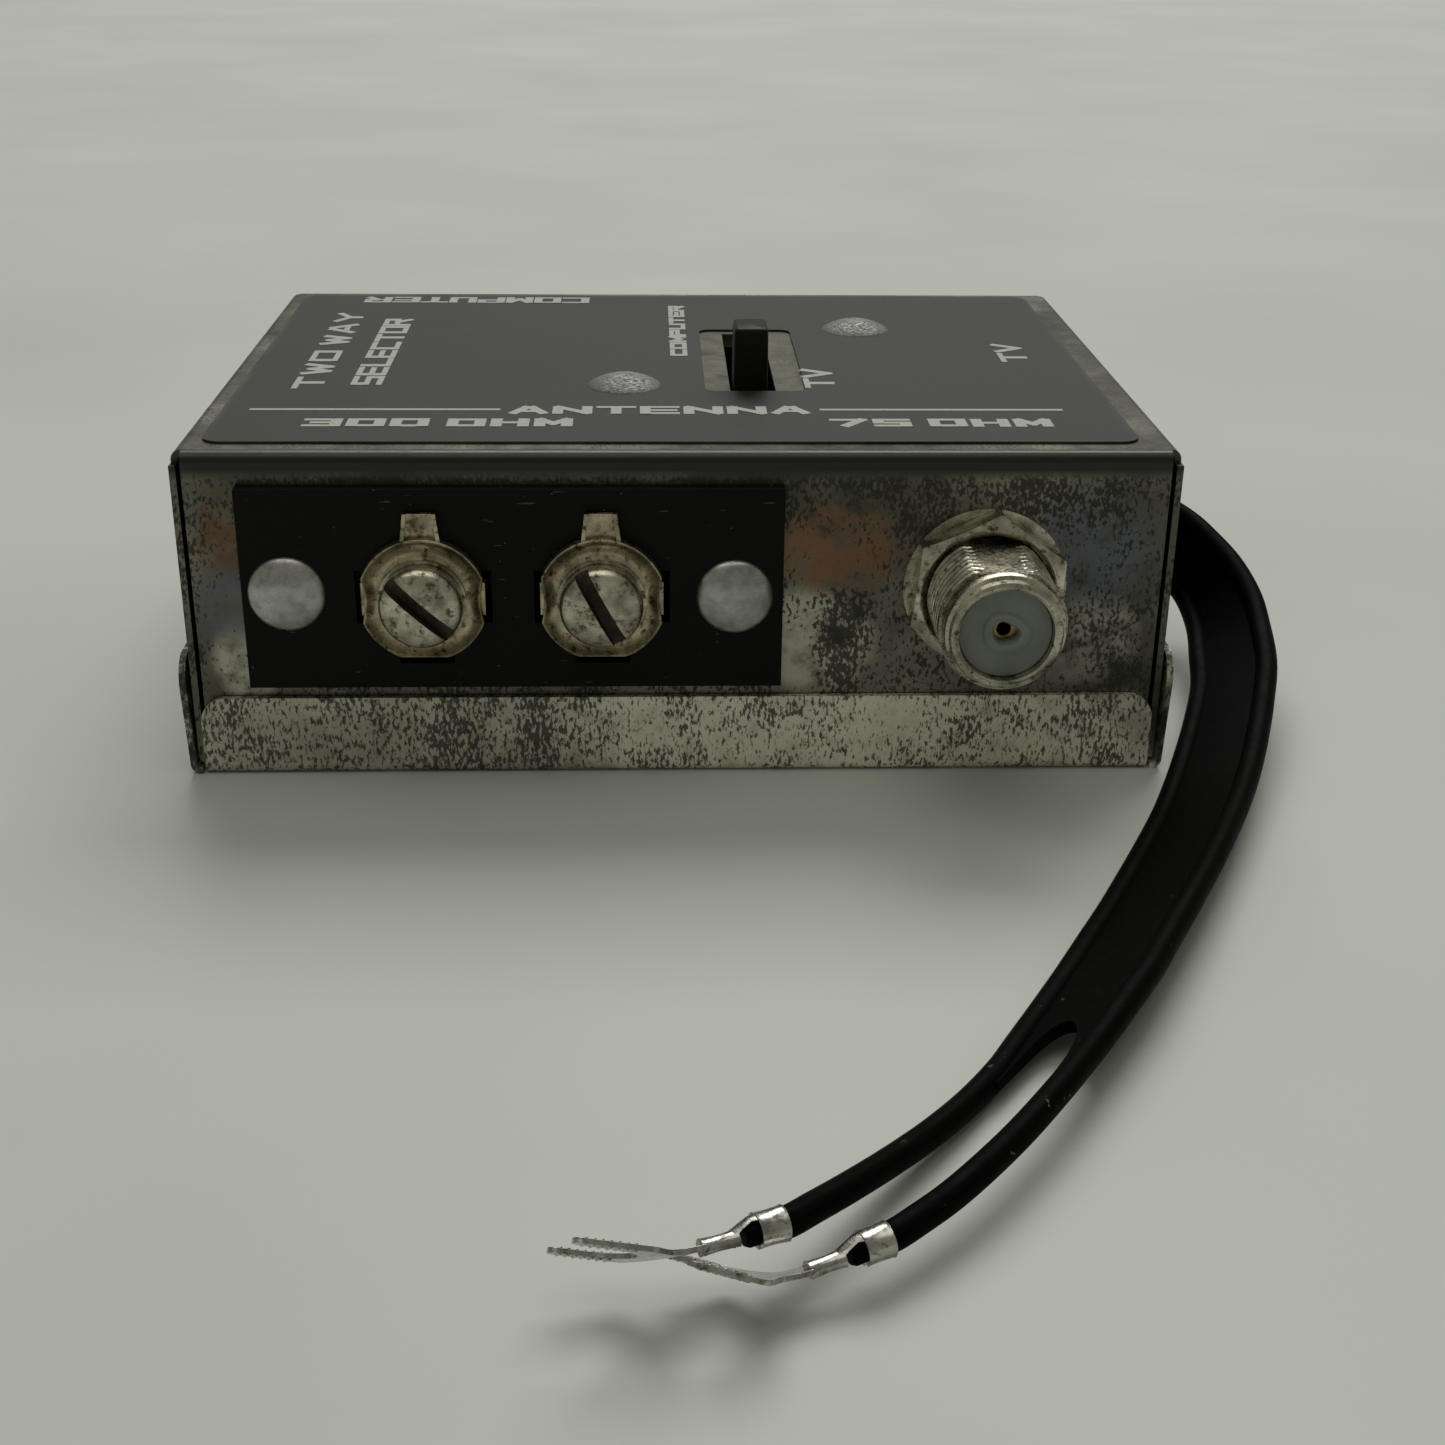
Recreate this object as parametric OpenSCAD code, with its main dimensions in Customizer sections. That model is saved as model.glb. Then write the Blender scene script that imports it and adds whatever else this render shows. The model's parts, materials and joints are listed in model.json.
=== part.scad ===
// Antenna and computer switch box.
// A folded tinplate case sits in a shallow tray. It carries a slide switch, a 300 ohm screw
// terminal board, a threaded 75 ohm socket, a phono socket and a short flat lead with spade lugs.
// Millimetres, +Z up. The origin is the middle of the tray's underside. The screw terminals face -Y.

/* [Case] */
// Width of the case, side to side
case_w = 76; // [76:1:90]
// Depth of the case, front wall to back wall
case_d = 57.2; // [57.2:0.4:66]
// Height of the top face
case_h = 26; // [26:0.5:30]
// Thickness of the sheet metal
sheet_t = 0.5; // [0.4:0.1:0.6]
// Outside radius of a fold in the sheet
fold_r = 0.8; // [0.7:0.1:1.2]
// Height of the tray's front and back flanges
flange_h = 6.5; // [5:0.5:7]
// Height of the tray's side flanges
side_flange_h = 9.6; // [8:0.4:10]
// How far the case lifts out of the tray
lift_travel = 30; // [20:1:40]

/* [Switch] */
// Middle of the slide switch, to the right of the case's middle
switch_x = 6.3; // [4:0.1:8]
// Length of the slot for the knob
slot_len = 21; // [20.8:0.1:21.4]
// Width of the slot for the knob
slot_w = 3.8; // [3.6:0.1:5]
// How far the knob slides
switch_travel = 16.4; // [14:0.2:16.4]
// Height of the knob above the top face
knob_rise = 5.2; // [4:0.1:6]

/* [Terminals] */
// Distance between the two screw terminals
terminal_gap = 13.5; // [12:0.1:14]
// Middle of the two screw terminals, from the case's middle
terminal_x = -12.75; // [-14:0.05:-12]
// Height of the screw terminals
terminal_z = 15.1; // [14.5:0.1:16]
// Width of the terminal board
board_w = 41; // [40:0.5:43]
// Height of the terminal board
board_h = 15.9; // [15:0.1:16.5]
// Thickness of the terminal board
board_t = 1.3; // [1:0.1:1.6]
// Diameter of a terminal screw's head
screw_head_d = 6.3; // [6:0.1:6.6]

/* [Sockets] */
// Outside diameter of the threaded socket
f_thread_d = 9.52; // [9.4:0.02:9.6]
// How far the threaded socket stands out of the front wall
f_reach = 10.8; // [9:0.1:12]
// Across the flats of the socket's nut
f_nut_af = 11.1; // [10.8:0.1:11.4]
// Middle of the threaded socket, from the case's middle
f_x = 23.4; // [22:0.1:25]
// Outside diameter of the phono socket's sleeve
phono_d = 8.3; // [8.2:0.05:8.4]
// How far the phono socket stands out of the back wall
phono_reach = 9; // [8:0.1:10]

/* [Flat lead] */
// Width of the flat lead
lead_w = 7.6; // [7:0.2:8]
// Thickness of the lead over its wires
lead_t = 1.8; // [1.6:0.1:2]
// Thickness of the web between the wires
web_t = 0.8; // [0.6:0.1:1.2]
// Width of a spade lug's fork
fork_w = 5.6; // [5.6:0.1:6.2]
// Width of the gap in a spade lug's fork
fork_gap = 3.8; // [3.5:0.1:3.8]

/* [Hidden] */
$fn = 48;

// A little more than nothing, so that cuts run clear through
cut = 0.1;
// Gap between sheets that slide past each other
slip = 0.1;
// Gap left open where two walls meet at a corner
seam = 0.35;
// How far each top corner is notched
notch = 1;

front_y = -case_d / 2;
back_y = case_d / 2;
top_inside = case_h - sheet_t;
tray_w = case_w + 2 * (slip + sheet_t);
tray_d = case_d + 2 * (slip + sheet_t);
wall_foot = fold_r;

// Top face: label, its window and the switch's rivets
label_t = 0.2;
label_left = -36.2;
label_right = 35.3;
label_front = -26.1;
label_back = 26.4;
label_r = 1.6;
window = [2.3, -11, 10.7, 11.5];
switch_rivets_at = [[-4.4, -9.1], [16.9, 11.6]];
switch_rivet_r = 3.1;
shank_r = 1.5;

// Switch, downwards from the case's top
frame_t = 0.8;
frame_w = 16;
frame_l = 29.6;
frame_bottom = 16.2;
base_t = 1.6;
base_z = 16.6;
column_gap = 8;
contact_rows = [-12.6, -3.8, 3.8, 12.6];
knob_w = 2.9;
knob_l = 4.2;
knob_x = switch_x - 0.2;
knob_y = -slot_len / 2 + slip + knob_l / 2;
carriage_l = 11.2;
carriage_w = 13.4;
carriage_z = 19.4;
carriage_h = 4.6;
detent_r = 1.2;
spring_wire = 0.12;
spring_turns = 3;

// Terminal board and what is on it
board_x = -12.7;
board_z = 15.65;
board_face = front_y - board_t;
board_rivets_at = [[-29.8, 15.4], [4.1, 15.1]];
board_rivet_r = 2.95;
plate_t = 0.7;
plate_r = 4.95;
plate_half_w = 4.7;
plate_drop = 4.6;
tab_w = 2.8;
tab_top = 6.8;
leg_w = 3.6;
leg_reach = 3;
screw_r = 1.75;
screw_hole_r = 1.85;
washer_t = 0.5;
washer_r = 3.35;
head_h = 2.1;
shank_len = 8;
slot_turn_left = -42.7;
slot_turn_right = -62;
terminals_x = [terminal_x - terminal_gap / 2, terminal_x + terminal_gap / 2];

// Threaded socket
f_z = 15.5;
f_r = f_thread_d / 2;
f_core_r = f_r - 0.21;
f_flat = 0.65;
f_nut_t = 2.2;
f_washer_t = 0.5;
f_bore_r = 3.45;
f_contact_r = 0.55;
f_rear = 6;

// Phono socket
phono_x = -19;
phono_z = 14;
phono_bore_r = 1.65;
phono_rivets_dx = 9;
phono_step = 0.3;
phono_neck_r = phono_d / 2 - 0.17;

// Lead: each point is x, y, z and the lean of the lead's width above level
lead_route = [
    [35.0, 3.0, 10.6, 90], [38.0, 3.0, 10.6, 90], [41.0, 3.0, 10.3, 90],
    [44.0, 2.2, 9.6, 88], [46.2, 0.2, 8.7, 83], [47.4, -2.6, 7.8, 74],
    [48.1, -6.0, 6.9, 60], [48.2, -10.0, 6.0, 46], [47.7, -14.0, 5.1, 36],
    [46.6, -19.8, 4.2, 30], [44.7, -25.6, 3.5, 27], [42.7, -31.0, 2.9, 24],
    [40.6, -36.2, 2.4, 22], [38.4, -41.2, 2.2, 22], [36.1, -46.0, 2.2, 22],
    [33.8, -50.6, 2.2, 22], [31.4, -55.2, 2.2, 23], [29.0, -59.6, 2.2, 23],
    [26.6, -64.0, 2.2, 23], [24.0, -68.2, 2.2, 24]
];
inner_leg_route = [
    [21.9, -66.8, 1.0, 0], [20.0, -70.0, 1.0, 0], [18.2, -73.0, 1.0, 0], [15.8, -76.4, 1.1, 0],
    [13.2, -79.7, 1.4, 0], [10.5, -82.9, 1.9, 0], [8.0, -85.8, 2.5, 0], [5.9, -88.1, 3.0, 0],
    [4.6, -89.5, 3.3, 0], [3.4, -90.2, 3.4, 0]
];
outer_leg_route = [
    [26.2, -69.6, 3.2, 0], [24.8, -71.8, 3.1, 0], [23.2, -74.2, 3.0, 0], [20.9, -77.6, 3.0, 0],
    [18.1, -81.4, 2.9, 0], [15.7, -84.3, 2.8, 0], [13.4, -86.7, 2.6, 0], [11.3, -88.6, 2.5, 0],
    [9.9, -89.7, 2.4, 0], [8.8, -90.3, 2.4, 0]
];
rim_r = lead_t / 2;
leg_r = 0.85;
lead_slot = [9, 2.8];

// Spade lugs, from the end that the wire enters
barrel_l = 1.6;
barrel_r = 1.1;
crimp_start = 2.8;
crimp_end = 5;
crimp_r = 0.55;
crimp_z = -0.1;
lug_t = 0.3;
neck_w = 1.6;
neck_l = 2;
fork_l = 5.4;
fork_root = 1.5;
inner_lug_at = [4.3, -89.8, 3.4];
inner_lug_turn = [42, -1, 203];
inner_lug_bend = 21;
outer_lug_at = [9.7, -89.9, 2.4];
outer_lug_turn = [31, 4, 203];
outer_lug_bend = 32;

// ---- Shared shapes ----

// Stands its children on the front wall, with +Z pointing out of it
module on_front(x, z, y = front_y) translate([x, y, z]) rotate([90, 0, 0]) children();

// Stands its children on the back wall, with +Z pointing out of it
module on_back(x, z, y = back_y) translate([x, y, z]) rotate([-90, 0, 0]) children();

module tube(r_out, r_in, h) {
    difference() {
        cylinder(r = r_out, h = h);
        translate([0, 0, -cut]) cylinder(r = r_in, h = h + 2 * cut);
    }
}

// A shallow dome that fills a circle of radius r to height h
module dome(r, h) {
    ball_r = (r * r + h * h) / (2 * h);
    intersection() {
        translate([0, 0, h - ball_r]) sphere(r = ball_r, $fn = 96);
        cylinder(r = r + 1, h = h + 1);
    }
}

// A rectangle from one corner to the other, with round corners
module round_rect(low, high, r) {
    union() {
        translate([low[0] + r, low[1]]) square([high[0] - low[0] - 2 * r, high[1] - low[1]]);
        translate([low[0], low[1] + r]) square([high[0] - low[0], high[1] - low[1] - 2 * r]);
        for (x = [low[0] + r, high[0] - r], y = [low[1] + r, high[1] - r]) {
            translate([x, y]) circle(r = r);
        }
    }
}

// A rectangle that stands on y = 0, with its two upper corners round
module crown(w, h, r) {
    union() {
        translate([-w / 2, 0]) square([w, h - r]);
        translate([-w / 2 + r, 0]) square([w - 2 * r, h]);
        for (x = [-w / 2 + r, w / 2 - r]) translate([x, h - r]) circle(r = r);
    }
}

// Sheet folded down along two sides, seen from its end
module channel_outline(w, h) {
    difference() {
        crown(w, h, fold_r);
        translate([0, -cut]) crown(w - 2 * sheet_t, h - sheet_t + cut, fold_r - sheet_t);
    }
}

module channel_x(w, h, len) rotate([90, 0, 90]) linear_extrude(len, center = true) channel_outline(w, h);

module channel_y(w, h, len) rotate([90, 0, 0]) linear_extrude(len, center = true) channel_outline(w, h);

// A rivet with a domed head above z = 0 and a spread tail under the sheets it holds
module rivet(head_r, head_h, grip) {
    tail_r = 2.2;
    union() {
        dome(head_r, head_h);
        translate([0, 0, -grip]) cylinder(r = shank_r, h = grip + 0.2);
        translate([0, 0, -grip]) mirror([0, 0, 1]) dome(tail_r, 0.8);
    }
}

// ---- Sweeping the lead ----

function unit(v) = v / norm(v);
function place(p) = [p[0], p[1], p[2]];
function heading(route, i) =
    unit(place(route[min(i + 1, len(route) - 1)]) - place(route[max(i - 1, 0)]));
function outward(route, i) = unit(cross([0, 0, 1], heading(route, i)));
// Across the lead's width, leaning up from level by the route's fourth value
function width_dir(route, i) =
    cos(route[i][3]) * outward(route, i)
    + sin(route[i][3]) * cross(heading(route, i), outward(route, i));
function thick_dir(route, i) = cross(heading(route, i), width_dir(route, i));
function ring(route, i, outline) = [
    for (p = outline) place(route[i]) + p[0] * width_dir(route, i) + p[1] * thick_dir(route, i)
];

// Half of the flat lead's outline: rim, web, rim
half_w = lead_w / 2;
lead_half = [
    [half_w, 0], [half_w - 0.5, rim_r], [half_w - 1.6, web_t / 2],
    [-half_w + 1.6, web_t / 2], [-half_w + 0.5, rim_r], [-half_w, 0]
];
lead_outline = concat(lead_half, [for (i = [4 : -1 : 1]) [lead_half[i][0], -lead_half[i][1]]]);
// A round outline with n sides
function round_outline(r, n) = [for (i = [0 : n - 1]) r * [cos(360 * i / n), sin(360 * i / n)]];

module sweep(route, outline) {
    n = len(outline);
    last = len(route) - 1;
    points = [for (i = [0 : last]) each ring(route, i, outline)];
    sides = [
        for (i = [0 : last - 1], k = [0 : n - 1])
            let (a = i * n + k, b = i * n + (k + 1) % n)
            each [[a, b, b + n], [a, b + n, a + n]]
    ];
    near_end = [for (k = [n - 1 : -1 : 0]) k];
    far_end = [for (k = [0 : n - 1]) last * n + k];
    polyhedron(points, concat(sides, [near_end], [far_end]), convexity = 6);
}

// ---- Case ----

// Half of the tray seen from the front: a stub of floor, the fold and the leaning side flange
function arc(middle, r, from, to, steps) = [
    for (i = [0 : steps])
        let (turn = from + (to - from) * i / steps)
        middle + r * [cos(turn), sin(turn)]
];
flange_lean = 2;
fold_middle = [tray_w / 2 - fold_r, fold_r];
lean_dir = [sin(flange_lean), cos(flange_lean)];
side_outline = concat(
    [[fold_middle[0] - 0.1, sheet_t], [fold_middle[0] - 0.1, 0]],
    arc(fold_middle, fold_r, -90, -flange_lean, 8),
    [
        fold_middle + fold_r * [cos(flange_lean), -sin(flange_lean)]
            + (side_flange_h - fold_r) * lean_dir,
        fold_middle + (fold_r - sheet_t) * [cos(flange_lean), -sin(flange_lean)]
            + (side_flange_h - fold_r) * lean_dir
    ],
    arc(fold_middle, fold_r - sheet_t, -flange_lean, -90, 8)
);

// Shallow tray under the case, with flanges outside its walls
module bottom_cover() {
    end_w = case_w - 1.2;
    relief = 0.3;
    lead_notch = [lead_slot[1] + 3, 5];
    color([0.58, 0.57, 0.53]) union() {
        // Front and back flanges, with a strip of floor between them
        intersection() {
            translate([0, 0, flange_h]) mirror([0, 0, 1]) channel_x(tray_d, flange_h, end_w);
            rotate([90, 0, 0]) linear_extrude(tray_d + 1, center = true) crown(end_w, flange_h, 2);
        }
        // Floor out to the side flanges
        translate([-fold_middle[0], -tray_d / 2 + fold_r + relief, 0])
            cube([2 * fold_middle[0], tray_d - 2 * (fold_r + relief), sheet_t]);
        for (s = [0, 1]) mirror([s, 0, 0]) intersection() {
            rotate([90, 0, 0]) linear_extrude(tray_d - 0.2, center = true) polygon(side_outline);
            difference() {
                translate([tray_w / 2 - 2, 0, 0]) rotate([90, 0, 90]) linear_extrude(4)
                    crown(tray_d - 0.2, side_flange_h, 2.4);
                if (s == 0) {
                    translate([tray_w / 2 - 3, lead_route[1][1] - lead_notch[0] / 2, lead_notch[1]])
                        cube([6, lead_notch[0], side_flange_h]);
                }
            }
        }
    }
}

// Top and four walls, folded from one sheet, open at the bottom
module case_shell() {
    wall_h = case_h - wall_foot;
    color([0.55, 0.54, 0.5]) difference() {
        translate([0, 0, wall_foot]) union() {
            channel_x(case_d, wall_h, case_w - 2 * (sheet_t + seam));
            channel_y(case_w, wall_h, case_d - 2 * notch);
            // Side walls out to the corners, below the notches
            for (sx = [-1, 1], sy = [-1, 1]) {
                translate([sx * (case_w - sheet_t) / 2, sy * (case_d / 2 - notch), (wall_h - notch) / 2])
                    cube([sheet_t, 2 * notch, wall_h - notch], center = true);
            }
        }
        // Slot for the knob, and the switch's rivets
        translate([switch_x - slot_w / 2, -slot_len / 2, top_inside - cut])
            cube([slot_w, slot_len, sheet_t + 2 * cut]);
        for (p = switch_rivets_at) translate([p[0], p[1], top_inside - cut]) cylinder(r = shank_r, h = 2);
        // Front wall: terminal windows, board rivets and the threaded socket
        for (x = terminals_x) on_front(x, terminal_z, front_y + 1) cylinder(r = 6, h = 2);
        for (p = board_rivets_at) on_front(p[0], p[1], front_y + 1) cylinder(r = shank_r, h = 2);
        on_front(f_x, f_z, front_y + 1) cylinder(r = f_r + 0.1, h = 2);
        // Back wall: the phono socket and its rivets
        on_back(phono_x, phono_z, back_y - 1) cylinder(r = phono_d / 2 + 0.3, h = 2);
        for (s = [-1, 1]) {
            on_back(phono_x + s * phono_rivets_dx, phono_z, back_y - 1) cylinder(r = shank_r, h = 2);
        }
        // Right wall: the flat lead's slot
        translate([case_w / 2, lead_route[1][1], lead_route[1][2]])
            cube([2, lead_slot[1] + 1, lead_slot[0] + 1], center = true);
    }
}

// Thin printed label, with a window round the knob's slot
module top_label() {
    color([0.27, 0.27, 0.26]) translate([0, 0, case_h]) difference() {
        linear_extrude(label_t) difference() {
            round_rect([label_left, label_front], [label_right, label_back], label_r);
            round_rect([window[0], window[1]], [window[2], window[3]], 1);
        }
        for (p = switch_rivets_at) translate([p[0], p[1], -cut]) cylinder(r = shank_r, h = 1);
    }
}

// ---- Slide switch ----

module switch_rivets() {
    color([0.72, 0.72, 0.7]) {
        for (p = switch_rivets_at) {
            translate([p[0], p[1], case_h + label_t]) rivet(switch_rivet_r, 1.1, label_t + sheet_t + frame_t);
        }
    }
}

// Pressed steel frame with an ear at two opposite corners
module switch_frame() {
    ear_r = 3.2;
    side_t = 0.6;
    color([0.66, 0.66, 0.64]) difference() {
        union() {
            translate([switch_x - frame_w / 2, -frame_l / 2, top_inside - frame_t])
                cube([frame_w, frame_l, frame_t]);
            for (p = switch_rivets_at) {
                translate([p[0], p[1], top_inside - frame_t]) cylinder(r = ear_r, h = frame_t);
                translate([min(p[0], switch_x), p[1] - ear_r, top_inside - frame_t])
                    cube([abs(p[0] - switch_x), 2 * ear_r, frame_t]);
            }
            for (s = [-1, 1]) {
                translate([switch_x + s * (frame_w - side_t) / 2, 0, (top_inside + frame_bottom) / 2])
                    cube([side_t, frame_l, top_inside - frame_bottom], center = true);
                for (y = [-9, 9]) {
                    translate([switch_x + s * (frame_w / 2 - 1), y, frame_bottom + 0.1])
                        cube([2, 3, 0.4], center = true);
                }
            }
        }
        translate([switch_x, 0, top_inside]) cube([slot_w + 0.6, slot_len + 0.6, 3], center = true);
        for (p = switch_rivets_at) {
            translate([p[0], p[1], top_inside - frame_t - cut]) cylinder(r = shank_r, h = frame_t + 2 * cut);
        }
    }
}

// Laminate base that holds the fixed contacts
module switch_base() {
    color([0.45, 0.28, 0.14]) difference() {
        translate([switch_x - frame_w / 2 + 0.7, -frame_l / 2, base_z])
            cube([frame_w - 1.4, frame_l, base_t]);
        for (s = [-1, 1], y = contact_rows) {
            translate([switch_x + s * column_gap / 2, y, base_z - cut])
                cylinder(r = 0.8, h = base_t + 2 * cut);
        }
    }
}

// Eight riveted contacts with solder tags
module switch_terminals() {
    tag_l = 5;
    color([0.8, 0.68, 0.42]) {
        for (s = [-1, 1], y = contact_rows) {
            translate([switch_x + s * column_gap / 2, y, base_z]) difference() {
                union() {
                    cylinder(r = 0.8, h = base_t);
                    translate([0, 0, base_t]) cylinder(r = 1.5, h = 0.3);
                    translate([0, 0, -0.5]) cylinder(r = 1.3, h = 0.5);
                    translate([-0.3, -1.2, -tag_l]) cube([0.6, 2.4, tag_l]);
                }
                translate([-1, 0, -tag_l + 1.4]) rotate([0, 90, 0]) cylinder(r = 0.6, h = 2);
            }
        }
    }
}

// Moulded carriage with the knob that stands out of the slot
module switch_slider() {
    knob_top = case_h + knob_rise;
    edge_r = 0.5;
    color([0.06, 0.06, 0.06]) difference() {
        union() {
            translate([switch_x - carriage_w / 2, knob_y - carriage_l / 2, carriage_z])
                cube([carriage_w, carriage_l, carriage_h]);
            translate([knob_x - knob_w / 2, knob_y - knob_l / 2, carriage_z + carriage_h - 1])
                cube([knob_w, knob_l, knob_top - edge_r - carriage_z - carriage_h + 1]);
            // Knob's top, with round edges
            hull() {
                for (sx = [-1, 1], sy = [-1, 1]) {
                    translate([
                        knob_x + sx * (knob_w / 2 - edge_r),
                        knob_y + sy * (knob_l / 2 - edge_r),
                        knob_top - edge_r
                    ]) sphere(r = edge_r, $fn = 24);
                }
                translate([knob_x - knob_w / 2, knob_y - knob_l / 2, knob_top - edge_r - 0.4])
                    cube([knob_w, knob_l, 0.2]);
            }
        }
        // Pocket for the detent ball and its spring
        translate([switch_x + 4.5, knob_y, carriage_z + 1]) cylinder(r = detent_r + 0.1, h = carriage_h);
        // Pockets for the moving contacts
        for (s = [-1, 1]) {
            translate([switch_x + s * column_gap / 2 - 1.4, knob_y - carriage_l / 2 + 0.1, carriage_z - cut])
                cube([2.8, carriage_l - 0.2, 0.7 + cut]);
        }
    }
}

// Two sprung bridges under the carriage, each joining two fixed contacts
module switch_contacts() {
    bridge_w = 2.6;
    bridge_l = carriage_l - 0.4;
    foot_l = 1.5;
    gap = 0.15;
    bridge_z = base_z + base_t + 0.3 + gap;
    color([0.82, 0.66, 0.36]) {
        for (s = [-1, 1]) translate([switch_x + s * column_gap / 2 - bridge_w / 2, knob_y, 0]) {
            translate([0, -bridge_l / 2, carriage_z + 0.3]) cube([bridge_w, bridge_l, 0.4]);
            for (y = [-bridge_l / 2, bridge_l / 2 - foot_l]) {
                translate([0, y, bridge_z]) cube([bridge_w, foot_l, carriage_z + 0.5 - bridge_z]);
            }
        }
    }
}

module detent_ball() {
    color([0.75, 0.75, 0.76]) translate([switch_x + 4.5, knob_y, top_inside - frame_t - detent_r - 0.1])
        sphere(r = detent_r, $fn = 32);
}

// Coil spring under the detent ball, in the carriage's pocket
module detent_spring() {
    coil_r = detent_r - spring_wire - 0.1;
    low = carriage_z + 1 + spring_wire;
    high = top_inside - frame_t - 2 * detent_r - 0.15 - spring_wire;
    steps = 16;
    coil = [
        for (i = [0 : steps * spring_turns])
            let (turn = 360 * i / steps)
            [coil_r * cos(turn), coil_r * sin(turn), low + (high - low) * i / (steps * spring_turns), 0]
    ];
    color([0.6, 0.6, 0.6]) translate([switch_x + 4.5, knob_y, 0]) sweep(coil, round_outline(spring_wire, 6));
}

// ---- 300 ohm screw terminals ----

module terminal_board() {
    color([0.05, 0.05, 0.05]) difference() {
        on_front(board_x, board_z) linear_extrude(board_t) square([board_w, board_h], center = true);
        for (p = board_rivets_at) on_front(p[0], p[1], front_y + 1) cylinder(r = shank_r, h = board_t + 2);
        for (x = terminals_x) {
            on_front(x, terminal_z, front_y + 1) cylinder(r = 2.5, h = board_t + 2);
            // Slots for the plate's legs, and for the tab at its foot
            for (s = [-1, 1]) {
                on_front(x + s * (plate_half_w - 0.2), terminal_z, front_y + 1)
                    translate([0, 0, 2]) cube([1.3, leg_w + 0.6, 5], center = true);
            }
            on_front(x, terminal_z - plate_drop - 0.4, front_y + 1)
                translate([0, 0, 2]) cube([leg_w + 0.6, 0.8, 5], center = true);
        }
    }
}

module board_rivets() {
    color([0.74, 0.74, 0.73]) {
        for (p = board_rivets_at) {
            on_front(p[0], p[1], board_face) rivet(board_rivet_r, 1.1, board_t + sheet_t);
        }
    }
}

// Dished plate with a tab at its top and two legs bent back through the board
module terminal_plate(x) {
    color([0.7, 0.68, 0.62]) on_front(x, terminal_z, board_face) difference() {
        union() {
            intersection() {
                union() {
                    cylinder(r = plate_r, h = plate_t);
                    tube(plate_r, plate_r - 0.6, plate_t + 0.3);
                }
                translate([-plate_half_w, -plate_drop, 0]) cube([2 * plate_half_w, 2 * plate_r, 3]);
            }
            translate([-tab_w / 2, plate_r - 1, 0]) cube([tab_w, tab_top - plate_r + 1, 0.3]);
            for (s = [-1, 1]) {
                translate([s * (tab_w / 2 - 0.2) - 0.2, plate_r - 1, 0])
                    cube([0.4, tab_top - plate_r + 1, plate_t]);
                translate([s * (plate_half_w - 0.25) - 0.25, -leg_w / 2, -leg_reach])
                    cube([0.5, leg_w, leg_reach + plate_t]);
            }
            translate([0, 0, -1.6]) cylinder(r = 2.4, h = 1.6 + plate_t);
        }
        translate([0, 0, -3]) cylinder(r = screw_hole_r, h = 6);
    }
}
module terminal_plate_left() terminal_plate(terminals_x[0]);
module terminal_plate_right() terminal_plate(terminals_x[1]);

module clamp_washer(x) {
    color([0.72, 0.7, 0.62]) on_front(x, terminal_z, board_face - plate_t - 0.05)
        tube(washer_r, screw_hole_r, washer_t);
}
module clamp_washer_left() clamp_washer(terminals_x[0]);
module clamp_washer_right() clamp_washer(terminals_x[1]);

// Slotted binding-head screw
module terminal_screw(x, turn) {
    head_r = screw_head_d / 2;
    seat = plate_t + washer_t + 0.1;
    color([0.74, 0.72, 0.62]) on_front(x, terminal_z, board_face - seat) rotate([0, 0, turn]) difference() {
        union() {
            cylinder(r = head_r, h = head_h * 0.6);
            intersection() {
                translate([0, 0, head_h * 0.6 - 0.01]) dome(head_r, head_h * 0.4);
                cylinder(r = head_r, h = head_h);
            }
            translate([0, 0, -shank_len]) cylinder(r = screw_r, h = shank_len + 0.2);
        }
        translate([-head_r - 1, -0.48, head_h - 1.1]) cube([2 * head_r + 2, 0.96, 2]);
    }
}
module terminal_screw_left() terminal_screw(terminals_x[0], slot_turn_left);
module terminal_screw_right() terminal_screw(terminals_x[1], slot_turn_right);

// ---- 75 ohm threaded socket ----

module f_socket_body() {
    nose = 1.2;
    nose_start = f_reach - nose;
    thread_start = f_washer_t + f_nut_t + 0.2;
    thread_end = nose_start - 0.6;
    collar_r = f_r - 0.16;
    color([0.72, 0.7, 0.6]) on_front(f_x, f_z) difference() {
        union() {
            // Barrel, cut flat along its top, with plain ends
            difference() {
                union() {
                    translate([0, 0, -1]) cylinder(r = f_core_r, h = thread_start + 1);
                    translate([0, 0, thread_start]) cylinder(r = f_r, h = thread_end - thread_start);
                    translate([0, 0, thread_end]) cylinder(r = collar_r, h = nose_start - thread_end);
                    translate([0, 0, nose_start]) cylinder(r1 = collar_r, r2 = f_r - 0.6, h = nose);
                }
                translate([-f_r, f_r - f_flat, -sheet_t]) cube([2 * f_r, 2, thread_end + sheet_t]);
            }
            // Flange behind the wall, and the rear sleeve
            translate([0, 0, -sheet_t - 1.5]) cylinder(r = 6.4, h = 1.5);
            translate([0, 0, -f_rear]) cylinder(r = 4, h = f_rear - 1);
        }
        translate([0, 0, -f_rear - cut]) cylinder(r = f_bore_r, h = f_rear + f_reach + 2 * cut);
    }
}

module f_lock_washer() {
    color([0.68, 0.66, 0.56]) on_front(f_x, f_z) tube(6.3, f_r + 0.06, f_washer_t);
}

module f_hex_nut() {
    color([0.74, 0.72, 0.62]) on_front(f_x, f_z, front_y - f_washer_t) difference() {
        intersection() {
            rotate([0, 0, 24]) cylinder(r = f_nut_af / sqrt(3), h = f_nut_t, $fn = 6);
            translate([0, 0, -2]) cylinder(r1 = f_nut_af / 2 + 2.9, r2 = f_nut_af / 2 + 0.2, h = f_nut_t + 2);
        }
        translate([0, 0, -cut]) cylinder(r = f_core_r + 0.06, h = f_nut_t + 2 * cut);
    }
}

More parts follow.
